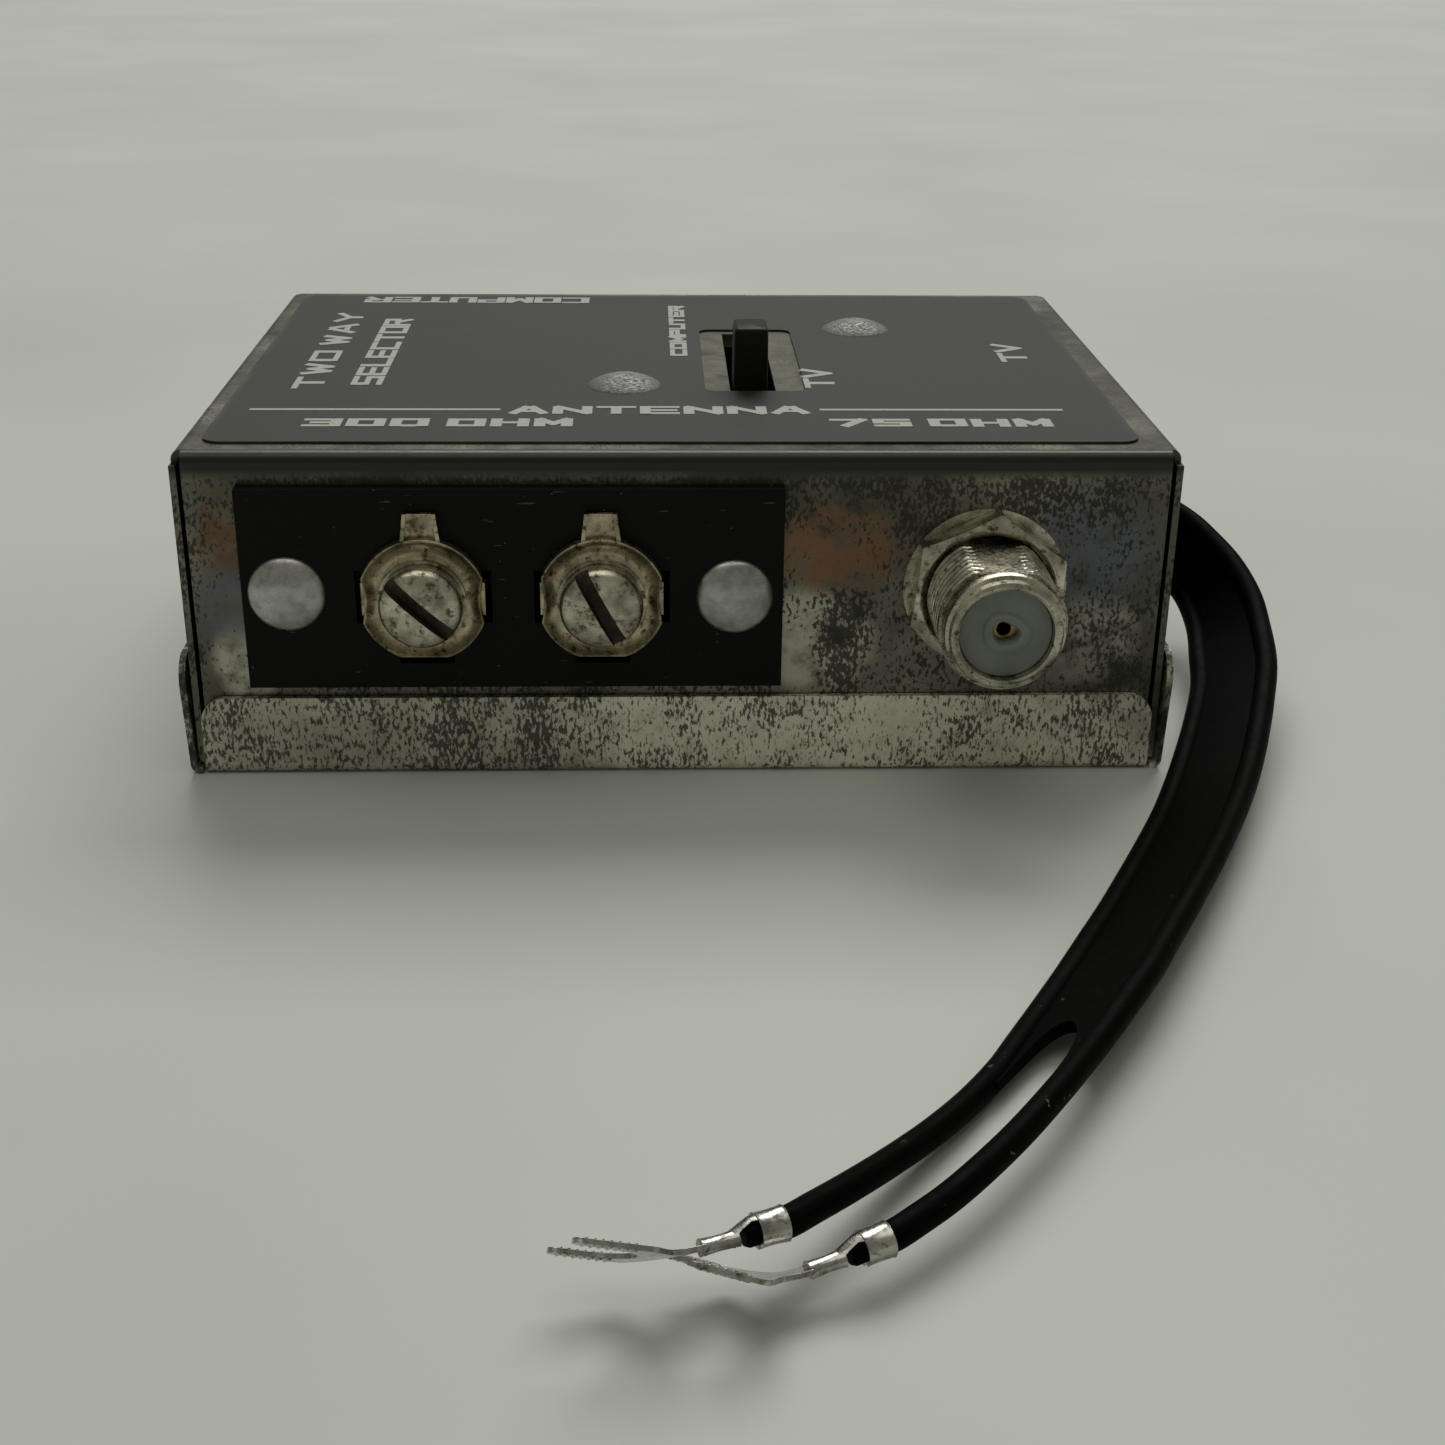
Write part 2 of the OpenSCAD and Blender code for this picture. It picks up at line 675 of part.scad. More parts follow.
module f_insulator() {
    color([0.3, 0.3, 0.3]) on_front(f_x, f_z) difference() {
        translate([0, 0, -f_rear]) cylinder(r = f_bore_r, h = f_rear + f_reach - 0.7);
        translate([0, 0, -f_rear - cut]) cylinder(r = 1.2, h = f_rear + f_reach + 2 * cut);
    }
}

// Sprung sleeve that grips the plug's middle wire, and its solder pin
module f_contact() {
    color([0.8, 0.66, 0.34]) on_front(f_x, f_z) difference() {
        union() {
            translate([0, 0, -f_rear]) cylinder(r = 1.2, h = f_rear + f_reach - 1.6);
            translate([0, 0, -f_rear - 3]) cylinder(r = 0.6, h = 4);
        }
        translate([0, 0, -2]) cylinder(r = f_contact_r, h = f_reach + 4, $fn = 32);
    }
}

// ---- Phono socket ----

module phono_sleeve() {
    color([0.72, 0.71, 0.68]) on_back(phono_x, phono_z) difference() {
        union() {
            translate([0, 0, phono_step]) cylinder(r = phono_d / 2, h = phono_reach - phono_step);
            translate([0, 0, -2.6]) cylinder(r = phono_neck_r, h = phono_step + 2.6);
            translate([0, 0, -2.6]) cylinder(r = 5.2, h = 0.5);
        }
        translate([0, 0, -3]) cylinder(r = phono_d / 2 - 0.5, h = phono_reach + 6);
    }
}

// Laminate plate behind the wall that holds the phono socket
module phono_mount() {
    color([0.42, 0.27, 0.15]) on_back(phono_x, phono_z, back_y - sheet_t) difference() {
        translate([0, 0, -1.6]) linear_extrude(1.6) round_rect([-12, -5.5], [12, 5.5], 2);
        translate([0, 0, -2]) cylinder(r = phono_neck_r + 0.05, h = 3);
        for (s = [-1, 1]) translate([s * phono_rivets_dx, 0, -2]) cylinder(r = shank_r, h = 3);
    }
}

module phono_insulator() {
    color([0.08, 0.08, 0.08]) on_back(phono_x, phono_z) difference() {
        translate([0, 0, -2.6]) cylinder(r = phono_d / 2 - 0.5, h = phono_reach + 1.8);
        translate([0, 0, -3]) cylinder(r = 2.1, h = phono_reach + 6);
    }
}

module phono_contact() {
    color([0.78, 0.64, 0.34]) on_back(phono_x, phono_z) difference() {
        union() {
            translate([0, 0, -4]) cylinder(r = 2.1, h = phono_reach + 2.8);
            translate([0, 0, -7]) cylinder(r = 0.7, h = 4);
        }
        translate([0, 0, -3]) cylinder(r = phono_bore_r, h = phono_reach + 6);
    }
}

module phono_rivets() {
    color([0.74, 0.74, 0.73]) {
        for (s = [-1, 1]) on_back(phono_x + s * phono_rivets_dx, phono_z) rivet(2.6, 0.9, sheet_t + 1.6);
    }
}

// ---- Matching transformers and small parts inside ----

balun_size = [13, 12, 7.6];
balun_hole_r = 1.9;
balun_hole_gap = 6.4;
antenna_balun_at = [-22, -14, top_inside - balun_size[2] / 2];
computer_balun_at = [-21, 9, top_inside - balun_size[2] / 2];

// Ferrite block with two holes along Y
module balun_core(at) {
    color([0.22, 0.22, 0.23]) translate(at) difference() {
        cube(balun_size, center = true);
        for (s = [-1, 1]) {
            translate([s * balun_hole_gap / 2, 0, 0]) rotate([90, 0, 0])
                cylinder(r = balun_hole_r, h = balun_size[1] + 1, center = true);
        }
    }
}

// Turns of enamelled wire through both holes, with two ends hanging down
module balun_winding(at, tint) {
    wire_r = 0.25;
    turns = [-0.9, -0.3, 0.3, 0.9];
    straight = balun_size[1] + 0.4;
    color(tint) translate(at) {
        for (z = turns) translate([0, 0, z]) {
            for (s = [-1, 1]) {
                translate([s * balun_hole_gap / 2, 0, 0]) rotate([90, 0, 0])
                    cylinder(r = wire_r, h = straight, center = true, $fn = 16);
                translate([0, s * straight / 2, 0]) rotate([0, 0, s * 90 - 90])
                    rotate_extrude(angle = 180, $fn = 48)
                        translate([balun_hole_gap / 2, 0]) circle(r = wire_r, $fn = 16);
            }
        }
        for (s = [-1, 1]) {
            translate([s * balun_hole_gap / 2, -straight / 2 - 0.2, -6])
                cylinder(r = wire_r, h = 5.2, $fn = 16);
        }
    }
}

module antenna_balun_core() balun_core(antenna_balun_at);
module antenna_balun_winding() balun_winding(antenna_balun_at, [0.62, 0.2, 0.1]);
module computer_balun_core() balun_core(computer_balun_at);
module computer_balun_winding() balun_winding(computer_balun_at, [0.2, 0.45, 0.2]);

capacitor_places = [[-5, -18, 18], [-5, 8, 18], [22, 6.5, 17], [22, 14, 17]];
module disc_capacitors() {
    color([0.72, 0.42, 0.16]) {
        for (at = capacitor_places) translate(at) union() {
            rotate([0, 90, 0]) cylinder(r = 3, h = 1.4, center = true);
            for (s = [-1, 1]) {
                translate([0, s * 1.8, -6.5]) cylinder(r = 0.3, h = 4.5, $fn = 16);
            }
        }
    }
}

// Wires from the sockets, the screw terminals and the lead to the switch
tag_left = switch_x - column_gap / 2 - 0.9;
tag_right = switch_x + column_gap / 2 + 0.9;
tag_z = 12.6;
leg_end_y = board_face + leg_reach + 0.6;
hookup_routes = [
    [[-15.1, leg_end_y, 15.1, 0], [-14.6, -24, 13, 0], [-10, -19, 10, 0], [-3, -14, 10.5, 0],
        [tag_left, contact_rows[0], tag_z, 0]],
    [[-1.6, leg_end_y, 15.1, 0], [-1.4, -23, 12, 0], [-2, -14, 7.5, 0], [-1, -7, 9.5, 0],
        [tag_left, contact_rows[1], tag_z, 0]],
    [[f_x, -19.3, f_z, 0], [22, -17, 14, 0], [17, -14, 12, 0], [tag_right, contact_rows[0], tag_z, 0]],
    [[phono_x, 21.3, phono_z, 0], [-16, 18, 12, 0], [-7, 15, 11, 0],
        [tag_left, contact_rows[3], tag_z, 0]],
    [[34.8, 3, 13.4, 0], [28, 2, 13.4, 0], [18, -2, 12, 0], [tag_right, contact_rows[1], tag_z, 0]],
    [[34.8, 3, 7.8, 0], [28, 3.6, 8.4, 0], [18, 4, 10.5, 0], [tag_right, contact_rows[2], tag_z, 0]]
];
module hookup_wires() {
    color([0.75, 0.1, 0.08]) {
        for (route = hookup_routes) sweep(route, round_outline(0.5, 8));
    }
}

// ---- Flat lead ----

// Moulded bush in the right wall, round the lead
module lead_grommet() {
    at = lead_route[1];
    lip = 1.2;
    color([0.07, 0.07, 0.07]) translate([case_w / 2, at[1], at[2]]) difference() {
        union() {
            translate([-sheet_t - 1, 0, 0])
                cube([2, lead_slot[1] + 1 + 2 * lip, lead_slot[0] + 2], center = true);
            cube([3, lead_slot[1] + 0.9, lead_slot[0] + 0.9], center = true);
            translate([0.6, 0, 0]) cube([1, lead_slot[1] + 1.8, lead_slot[0] + 1.4], center = true);
        }
        cube([12, lead_slot[1] - 0.6, lead_slot[0] - 1], center = true);
    }
}

module twin_lead() color([0.07, 0.07, 0.07]) sweep(lead_route, lead_outline);
module lead_leg_inner() color([0.07, 0.07, 0.07]) sweep(inner_leg_route, round_outline(leg_r, 8));
module lead_leg_outer() color([0.07, 0.07, 0.07]) sweep(outer_leg_route, round_outline(leg_r, 8));

// Crimped lug with an open fork. The wire enters at x = 0 and the fork bends up about Y
module spade_lug(bend) {
    color([0.7, 0.7, 0.67]) union() {
        rotate([0, 90, 0]) tube(barrel_r, leg_r + 0.1, barrel_l);
        // Strip along the top that joins the two crimps
        translate([barrel_l - 0.2, -0.4, crimp_z + crimp_r - 0.2])
            cube([crimp_start - barrel_l + 0.6, 0.8, barrel_r - crimp_z - crimp_r + 0.1]);
        translate([crimp_start, 0, crimp_z]) rotate([0, 90, 0])
            cylinder(r = crimp_r, h = crimp_end - crimp_start);
        translate([crimp_end - 0.4, -neck_w / 2, crimp_z - lug_t / 2]) cube([neck_l, neck_w, lug_t]);
        translate([crimp_end - 0.5 + neck_l, 0, crimp_z]) rotate([0, -bend, 0])
            translate([0, 0, -lug_t / 2]) linear_extrude(lug_t) difference() {
                translate([0, -fork_w / 2]) square([fork_l, fork_w]);
                translate([fork_root, -fork_gap / 2]) square([fork_l, fork_gap]);
            }
    }
}
module spade_lug_inner() translate(inner_lug_at) rotate(inner_lug_turn) spade_lug(inner_lug_bend);
module spade_lug_outer() translate(outer_lug_at) rotate(outer_lug_turn) spade_lug(outer_lug_bend);

bottom_cover();
case_shell();
top_label();
switch_rivets();
switch_frame();
switch_base();
switch_terminals();
switch_slider();
switch_contacts();
detent_ball();
detent_spring();
terminal_board();
board_rivets();
terminal_plate_left();
terminal_plate_right();
clamp_washer_left();
clamp_washer_right();
terminal_screw_left();
terminal_screw_right();
f_socket_body();
f_lock_washer();
f_hex_nut();
f_insulator();
f_contact();
phono_sleeve();
phono_mount();
phono_insulator();
phono_contact();
phono_rivets();
antenna_balun_core();
antenna_balun_winding();
computer_balun_core();
computer_balun_winding();
disc_capacitors();
hookup_wires();
lead_grommet();
twin_lead();
lead_leg_inner();
lead_leg_outer();
spade_lug_inner();
spade_lug_outer();
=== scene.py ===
import json
import math

import bmesh
import bpy
from mathutils import Matrix, Vector

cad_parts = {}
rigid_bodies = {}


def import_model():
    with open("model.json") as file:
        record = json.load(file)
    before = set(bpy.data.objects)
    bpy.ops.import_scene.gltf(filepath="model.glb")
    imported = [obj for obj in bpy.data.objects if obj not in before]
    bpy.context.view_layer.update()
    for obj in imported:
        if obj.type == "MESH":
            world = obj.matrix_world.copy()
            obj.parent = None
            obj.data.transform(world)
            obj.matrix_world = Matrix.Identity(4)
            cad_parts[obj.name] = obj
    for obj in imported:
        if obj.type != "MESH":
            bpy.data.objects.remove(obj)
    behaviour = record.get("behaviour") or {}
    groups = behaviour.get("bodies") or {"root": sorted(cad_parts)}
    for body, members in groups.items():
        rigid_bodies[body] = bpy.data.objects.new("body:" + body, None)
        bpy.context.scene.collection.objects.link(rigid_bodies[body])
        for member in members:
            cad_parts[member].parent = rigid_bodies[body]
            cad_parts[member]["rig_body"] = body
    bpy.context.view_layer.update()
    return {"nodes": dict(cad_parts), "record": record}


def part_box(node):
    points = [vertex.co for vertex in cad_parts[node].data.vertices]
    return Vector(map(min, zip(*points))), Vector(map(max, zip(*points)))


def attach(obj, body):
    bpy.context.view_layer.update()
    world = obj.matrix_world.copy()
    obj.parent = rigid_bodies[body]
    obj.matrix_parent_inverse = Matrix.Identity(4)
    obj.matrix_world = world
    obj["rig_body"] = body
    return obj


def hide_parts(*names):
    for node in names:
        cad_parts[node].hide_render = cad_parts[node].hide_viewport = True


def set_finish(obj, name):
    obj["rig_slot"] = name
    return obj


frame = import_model()

# Lengths below are in millimetres, and MM turns them into the frame's metres.
MM = 0.001


# ---- Places, worked out from the CAD nodes ----

def box_mm(node):
    low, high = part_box(node)
    return low / MM, high / MM


def middle_mm(node):
    low, high = box_mm(node)
    return (low + high) / 2


def facing_front(x, z, y):
    """A frame on the front wall: its +Z points out of the wall, its +Y points up."""
    return Matrix.Translation((x, y, z)) @ Matrix.Rotation(math.pi / 2, 4, "X")


def facing_back(x, z, y):
    """A frame on the back wall: its +Z points out of the wall."""
    return Matrix.Translation((x, y, z)) @ Matrix.Rotation(-math.pi / 2, 4, "X")


BOARD_FACE = box_mm("terminal_board")[0].y
SHEET = 0.5
FRONT_WALL = BOARD_FACE + 1.3
TOP = box_mm("case_shell")[1].z
LABEL_LOW, LABEL_HIGH = box_mm("top_label")
SCREW_LEFT = middle_mm("clamp_washer_left")
SCREW_RIGHT = middle_mm("clamp_washer_right")
SOCKET = middle_mm("f_lock_washer")


# ---- Camera ----

def add_camera():
    place = Vector((-2.34, -170.69, 67.52)) * MM
    yaw, pitch, roll = (math.radians(a) for a in (-2.286, 24.07, 0.649))
    ahead = Vector((-math.sin(yaw) * math.cos(pitch), math.cos(yaw) * math.cos(pitch), -math.sin(pitch)))
    level = Vector((math.cos(yaw), math.sin(yaw), 0))
    upright = level.cross(ahead)
    right = level * math.cos(roll) + upright * math.sin(roll)
    up = upright * math.cos(roll) - level * math.sin(roll)
    data = bpy.data.cameras.new("camera")
    data.sensor_width = 36
    data.lens = 49.0
    data.clip_start = 0.005
    data.clip_end = 20
    camera = bpy.data.objects.new("camera", data)
    camera.matrix_world = Matrix.Translation(place) @ Matrix((right, up, -ahead)).transposed().to_4x4()
    bpy.context.scene.collection.objects.link(camera)
    bpy.context.scene.camera = camera


# ---- Material nodes ----

class Paint:
    """A material, with short ways to add nodes. Patterns are in millimetres of the frame."""

    def __init__(self, name, rough, metal=0.0, **sockets):
        self.material = bpy.data.materials.new(name)
        self.material.use_nodes = True
        self.tree = self.material.node_tree
        self.shader = self.tree.nodes["Principled BSDF"]
        self.shader.inputs["Roughness"].default_value = rough
        self.shader.inputs["Metallic"].default_value = metal
        for key, value in sockets.items():
            self.shader.inputs[key.replace("_", " ")].default_value = value
        self.place = self.add("ShaderNodeTexCoord").outputs["Object"]

    def add(self, kind, **settings):
        node = self.tree.nodes.new(kind)
        for key, value in settings.items():
            setattr(node, key, value)
        return node

    def feed(self, socket, value):
        if isinstance(value, bpy.types.NodeSocket):
            self.tree.links.new(value, socket)
        else:
            socket.default_value = value

    def to_shader(self, name, value):
        self.feed(self.shader.inputs[name], value)

    def mapped(self, stretch=(1, 1, 1), shift=(0, 0, 0)):
        node = self.add("ShaderNodeMapping")
        self.feed(node.inputs["Vector"], self.place)
        node.inputs["Scale"].default_value = [s / MM for s in stretch]
        node.inputs["Location"].default_value = shift
        return node.outputs["Vector"]

    def noise(self, per_mm, detail=3.0, rough=0.55, stretch=(1, 1, 1), shift=(0, 0, 0)):
        node = self.add("ShaderNodeTexNoise")
        self.feed(node.inputs["Vector"], self.mapped(stretch, shift))
        node.inputs["Scale"].default_value = per_mm
        node.inputs["Detail"].default_value = detail
        node.inputs["Roughness"].default_value = rough
        return node.outputs["Fac"]

    def ramp(self, value, *stops):
        """stops are (position, grey level or colour)."""
        node = self.add("ShaderNodeValToRGB")
        points = node.color_ramp.elements
        while len(points) < len(stops):
            points.new(0.5)
        for point, (position, colour) in zip(points, stops):
            point.position = position
            grey = isinstance(colour, (int, float))
            point.color = (colour,) * 3 + (1,) if grey else tuple(colour) + (1,)
        self.feed(node.inputs["Fac"], value)
        return node.outputs["Color"]

    def mix(self, factor, first, second, blend="MIX"):
        node = self.add("ShaderNodeMix", data_type="RGBA", blend_type=blend)
        for socket, value in zip((0, 6, 7), (factor, first, second)):
            if isinstance(value, tuple) and len(value) == 3:
                value = value + (1,)
            self.feed(node.inputs[socket], value)
        return node.outputs[2]

    def sum(self, operation, first, second=0.5, clamp=True):
        node = self.add("ShaderNodeMath", operation=operation, use_clamp=clamp)
        self.feed(node.inputs[0], first)
        self.feed(node.inputs[1], second)
        return node.outputs[0]

    def blob(self, middle, size, power=1.0):
        """1 at the middle of an ellipsoid, falling to 0 at its surface."""
        node = self.add("ShaderNodeTexGradient", gradient_type="SPHERICAL")
        shift = [-m / s for m, s in zip(middle, size)]
        self.feed(node.inputs["Vector"], self.mapped([1 / s for s in size], shift))
        return self.sum("MULTIPLY", node.outputs["Fac"], power)

    def step(self, value, low, high):
        """0 below low, 1 above high."""
        node = self.add("ShaderNodeMapRange", clamp=True)
        self.feed(node.inputs["Value"], value)
        node.inputs["From Min"].default_value = low
        node.inputs["From Max"].default_value = high
        return node.outputs["Result"]

    def axis(self, name):
        """One coordinate, in millimetres."""
        node = self.add("ShaderNodeSeparateXYZ")
        self.feed(node.inputs[0], self.mapped())
        return node.outputs[name]

    def bump(self, height, depth_mm, strength=0.6):
        node = self.add("ShaderNodeBump")
        node.inputs["Strength"].default_value = strength
        node.inputs["Distance"].default_value = depth_mm * MM
        self.feed(node.inputs["Height"], height)
        self.to_shader("Normal", node.outputs["Normal"])
        return self.material


# ---- Materials ----

def tinplate(
        name, low, high, specks_from, streak, tints=(), clean=(), dark=(), fold=False, rough_from=0.2):
    """Worn tin plating: broad light and dark patches under fine dark specks that gather in places.
    low and high are its darkest and brightest colours. tints are (middle, size, colour, power): patches of
    colour, which the case and tray use for painted reflections and shade.
    clean and dark are (middle, size, power) where the specks thin out or gather. fold paints shade along the
    fold between the top and the front, as a dark strip of colour."""
    paint = Paint(name, 0.3, 0.9)
    patches = paint.noise(0.06, 3.0, 0.55, shift=(4, 9, 2))
    colour = paint.ramp(patches, (0.36, low), (0.64, high))
    cloud = paint.noise(0.5, 4.0, 0.6, shift=(11, 3, 5))
    colour = paint.mix(0.4, colour, paint.ramp(cloud, (0.3, 0.25), (0.7, 0.75)), "OVERLAY")
    for middle, size, tint, power in tints:
        area = paint.step(paint.blob(middle, size, power), 0.05, 0.7)
        ragged = paint.sum("MULTIPLY", area, paint.step(cloud, 0.3, 0.55))
        colour = paint.mix(ragged, colour, tint)
    gather = paint.noise(0.22, 3.0, 0.6, shift=(1, 7, 3))
    for middle, size, power in dark:
        gather = paint.sum("ADD", gather, paint.blob(middle, size, power), False)
    for middle, size, power in clean:
        gather = paint.sum("SUBTRACT", gather, paint.blob(middle, size, power), False)
    fine = paint.noise(3.6, 4.0, 0.62, stretch=streak, shift=(2, 2, 8))
    together = paint.sum("MULTIPLY_ADD", gather, 0.5, False)
    paint.feed(together.node.inputs[2], fine)
    specks = paint.step(together, specks_from, specks_from + 0.07)
    # Painted shade: a dark strip of colour along the fold between the top and the front, over the same metal.
    if fold:
        front = paint.step(paint.axis("Y"), -27.3, -27.8)
        strip = paint.sum("MULTIPLY", front, paint.step(paint.axis("Z"), 23.9, 24.7))
        colour = paint.mix(strip, colour, (0.042, 0.042, 0.037))
        specks = paint.sum("SUBTRACT", specks, strip)
    cover = paint.sum("MULTIPLY", specks, 0.88)
    paint.to_shader("Base Color", paint.mix(cover, colour, (0.035, 0.033, 0.024)))
    paint.to_shader("Metallic", paint.ramp(specks, (0.0, 0.9), (1.0, 0.5)))
    rough = paint.sum("MULTIPLY_ADD", cloud, 0.3)
    paint.feed(rough.node.inputs[2], rough_from)
    paint.to_shader("Roughness", paint.sum("MAXIMUM", rough, paint.sum("MULTIPLY", specks, 0.6)))
    return paint.bump(paint.sum("SUBTRACT", cloud, paint.sum("MULTIPLY", specks, 0.5)), 0.02, 0.4)


def case_metal():
    """The case's tinplate, speckled, with painted reflections on the front wall: bright patches low down,
    warm patches of reflected hands beside blue-grey ones, and a darker band along the top as painted shade.
    """
    hand_reflection, dark_reflection, cream = (0.24, 0.13, 0.075), (0.13, 0.14, 0.165), (0.14, 0.138, 0.105)
    return tinplate(
        "worn_tinplate_painted_reflections", (0.06, 0.059, 0.048), (0.23, 0.225, 0.185), 0.765, (1, 1, 0.6),
        # Painted reflections: the bright tints are the pale floor reflected low on the front, the warm and
        # brown ones reflected hands, the blue-grey ones reflected dark surroundings; the cream one on top is
        # the window's worn metal.
        tints=[
            ((10, -29, 11), (6, 9, 5), (0.5, 0.485, 0.4), 2.0),
            ((-33.5, -29, 9.5), (3, 9, 4), (0.48, 0.46, 0.38), 2.0),
            ((31.5, -29, 11), (5, 9, 4.5), (0.46, 0.45, 0.38), 1.9),
            ((12, -29, 18.5), (6, 9, 4.5), hand_reflection, 1.7),
            ((-34.5, -29, 19.5), (2.6, 9, 5), (0.15, 0.095, 0.06), 1.8),
            ((-34.5, -29, 14), (3, 9, 4), dark_reflection, 1.4),
            ((31, -29, 18), (7, 9, 6), dark_reflection, 1.2),
            ((6.5, 0, 26), (8, 18, 3), cream, 3.0),
        ],
        # Specks thin out under the painted reflections and in the worn window on top.
        clean=[((-34, -29, 12), (3, 9, 9), 0.35), ((12, -29, 18.5), (6, 9, 4.5), 0.2),
               ((9, -29, 10), (3, 9, 5), 0.4), ((6.5, 0, 26), (7, 16, 3), 0.3)],
        # The first two are real speck patches; the two broad ones along the top gather specks into a darker
        # upper band, painted shade.
        dark=[((12.5, -29, 11), (4, 9, 5), 0.42), ((33, -29, 12), (5, 9, 6), 0.05),
              ((20, -29, 23), (24, 9, 4), 0.2), ((-15, -29, 24), (30, 9, 2), 0.2)],
        fold=True,
    )


def tray_metal():
    """The tray's tinplate, brighter and rougher than the case's, with painted reflection brightening the
    middle and right of its front and painted shade on its sides.
    """
    # Painted shade: the colour for the tray's sides.
    side = (0.06, 0.06, 0.05)
    return tinplate(
        "speckled_tinplate", (0.42, 0.415, 0.35), (0.78, 0.765, 0.66), 0.75, (1, 1, 0.42),
        # The first two tints are painted reflection on the front; the last two are painted shade on the
        # sides.
        tints=[
            ((22, -29.2, 4), (24, 6, 8), (0.95, 0.93, 0.8), 1.2),
            ((0, -29.2, 4), (14, 6, 8), (0.9, 0.88, 0.76), 1.2),
            ((-38.7, 0, 6), (1.0, 60, 14), side, 3.0),
            ((38.7, 0, 6), (1.0, 60, 14), side, 3.0),
        ],
        # Specks gather on the left and thin out to the right, along with the painted reflection.
        dark=[((-15, -29.2, 4), (8, 6, 8), 0.12), ((-36, -29.2, 4), (4, 6, 8), 0.15)],
        clean=[((18, -29.2, 4), (16, 6, 8), 0.12), ((0, -29.2, 4), (9, 6, 8), 0.08)],
        rough_from=0.4,
    )


def label_print_stock():
    """Dark grey printed foil, scuffed, with lighter worn edges."""
    paint = Paint("label_foil", 0.5, Specular_IOR_Level=0.22)
    cloud = paint.noise(0.12, 4.0, 0.6)
    dust = paint.step(paint.noise(2.6, 3.0, 0.65), 0.63, 0.72)
    colour = paint.ramp(cloud, (0.3, (0.022, 0.022, 0.021)), (0.7, (0.032, 0.032, 0.029)))
    colour = paint.mix(paint.sum("MULTIPLY", dust, 0.25), colour, (0.1, 0.098, 0.088))
    from_middle = paint.sum("ADD", paint.axis("X"), 0.45, False)
    rim_x = paint.step(paint.sum("ABSOLUTE", from_middle, 0, False), 35.2, 35.9)
    rim_y = paint.step(paint.sum("ABSOLUTE", paint.axis("Y"), 0, False), 25.8, 26.3)
    rim = paint.sum("MULTIPLY", paint.sum("MAXIMUM", rim_x, rim_y), paint.step(cloud, 0.35, 0.6))
    colour = paint.mix(rim, colour, (0.085, 0.078, 0.05))
    paint.to_shader("Base Color", colour)
    paint.to_shader("Roughness", paint.ramp(cloud, (0.2, 0.45), (0.8, 0.62)))
    return paint.bump(paint.noise(6.0, 2.0), 0.01, 0.35)


def print_ink():
    """Pale print, worn thin in places."""
    paint = Paint("legend_ink", 0.5)
    worn = paint.step(paint.noise(2.2, 4.0, 0.7), 0.58, 0.72)
    paint.to_shader("Base Color", paint.mix(worn, (0.4, 0.4, 0.38), (0.19, 0.19, 0.18)))
    return paint.bump(paint.noise(5.0, 2.0), 0.01, 0.3)


def satin_metal(name, colour, rough=0.3, cloud_mm=0.5, dull=0.6, blotch=None, scratch=(1, 1, 6), metal=1.0):
    """A plain metal with cloudy dulling and fine scratches. blotch adds darker stains."""
    paint = Paint(name, rough, metal)
    cloud = paint.noise(cloud_mm, 4.0, 0.6)
    base = paint.ramp(cloud, (0.32, [dull * c for c in colour]), (0.66, colour))
    if blotch:
        stains = paint.step(paint.noise(cloud_mm * 2.2, 4.0, 0.65, shift=(5, 1, 9)), 0.53, 0.66)
        base = paint.mix(stains, base, blotch)
    scratches = paint.noise(3.0, 2.0, 0.6, stretch=scratch)
    paint.to_shader("Base Color", base)
    spread = paint.ramp(scratches, (0.3, 0.72 * rough), (0.75, min(1.0, 1.7 * rough)))
    paint.to_shader("Roughness", spread)
    return paint.bump(scratches, 0.012, 0.4)


def moulded(name, colour, rough, grain_mm=2.5, depth=0.02, lift=0.35, **sockets):
    """A moulded or laminated plastic with slight cloudiness and grain."""
    paint = Paint(name, rough, **sockets)
    cloud = paint.noise(0.3, 4.0, 0.6)
    bright = [min(1.0, c * (1 + lift) + 0.004) for c in colour]
    paint.to_shader("Base Color", paint.ramp(cloud, (0.3, colour), (0.7, bright)))
    paint.to_shader("Roughness", paint.ramp(cloud, (0.25, 0.8 * rough), (0.75, min(1.0, 1.25 * rough))))
    return paint.bump(paint.noise(grain_mm, 4.0, 0.6), depth, 0.4)


def board_laminate():
    """Black laminate, dull, with a few pale scratches and specks."""
    paint = Paint("board_laminate", 0.55, Specular_IOR_Level=0.16)
    scratches = paint.step(paint.noise(1.1, 2.0, 0.4, stretch=(0.35, 1, 3)), 0.72, 0.75)
    specks = paint.step(paint.noise(2.3, 2.0, 0.5, shift=(3, 3, 3)), 0.74, 0.77)
    marks = paint.sum("MAXIMUM", paint.sum("MULTIPLY", scratches, 0.35), paint.sum("MULTIPLY", specks, 0.6))
    paint.to_shader("Base Color", paint.mix(marks, (0.002, 0.002, 0.002), (0.2, 0.2, 0.17)))
    return paint.bump(paint.noise(1.6, 4.0), 0.015, 0.3)


def lead_vinyl():
    """Black vinyl of the flat lead: satin, with pale scuffs and a fine skin."""
    paint = Paint("lead_vinyl", 0.5, Specular_IOR_Level=0.025)
    scuffs = paint.step(paint.noise(1.3, 5.0, 0.72, stretch=(1, 0.6, 1)), 0.65, 0.74)
    near_split = paint.blob((17, -76, 2), (16, 16, 6), 1.6)
    scuffs = paint.sum("MULTIPLY", scuffs, paint.sum("ADD", near_split, 0.12))
    colour = paint.mix(paint.noise(0.2), (0.001, 0.001, 0.001), (0.002, 0.002, 0.002))
    paint.to_shader("Base Color", paint.mix(scuffs, colour, (0.2, 0.2, 0.2)))
    paint.to_shader("Roughness", paint.ramp(paint.noise(0.8, 4.0), (0.3, 0.45), (0.7, 0.6)))
    return paint.bump(paint.noise(3.2, 4.0, 0.6), 0.02, 0.4)


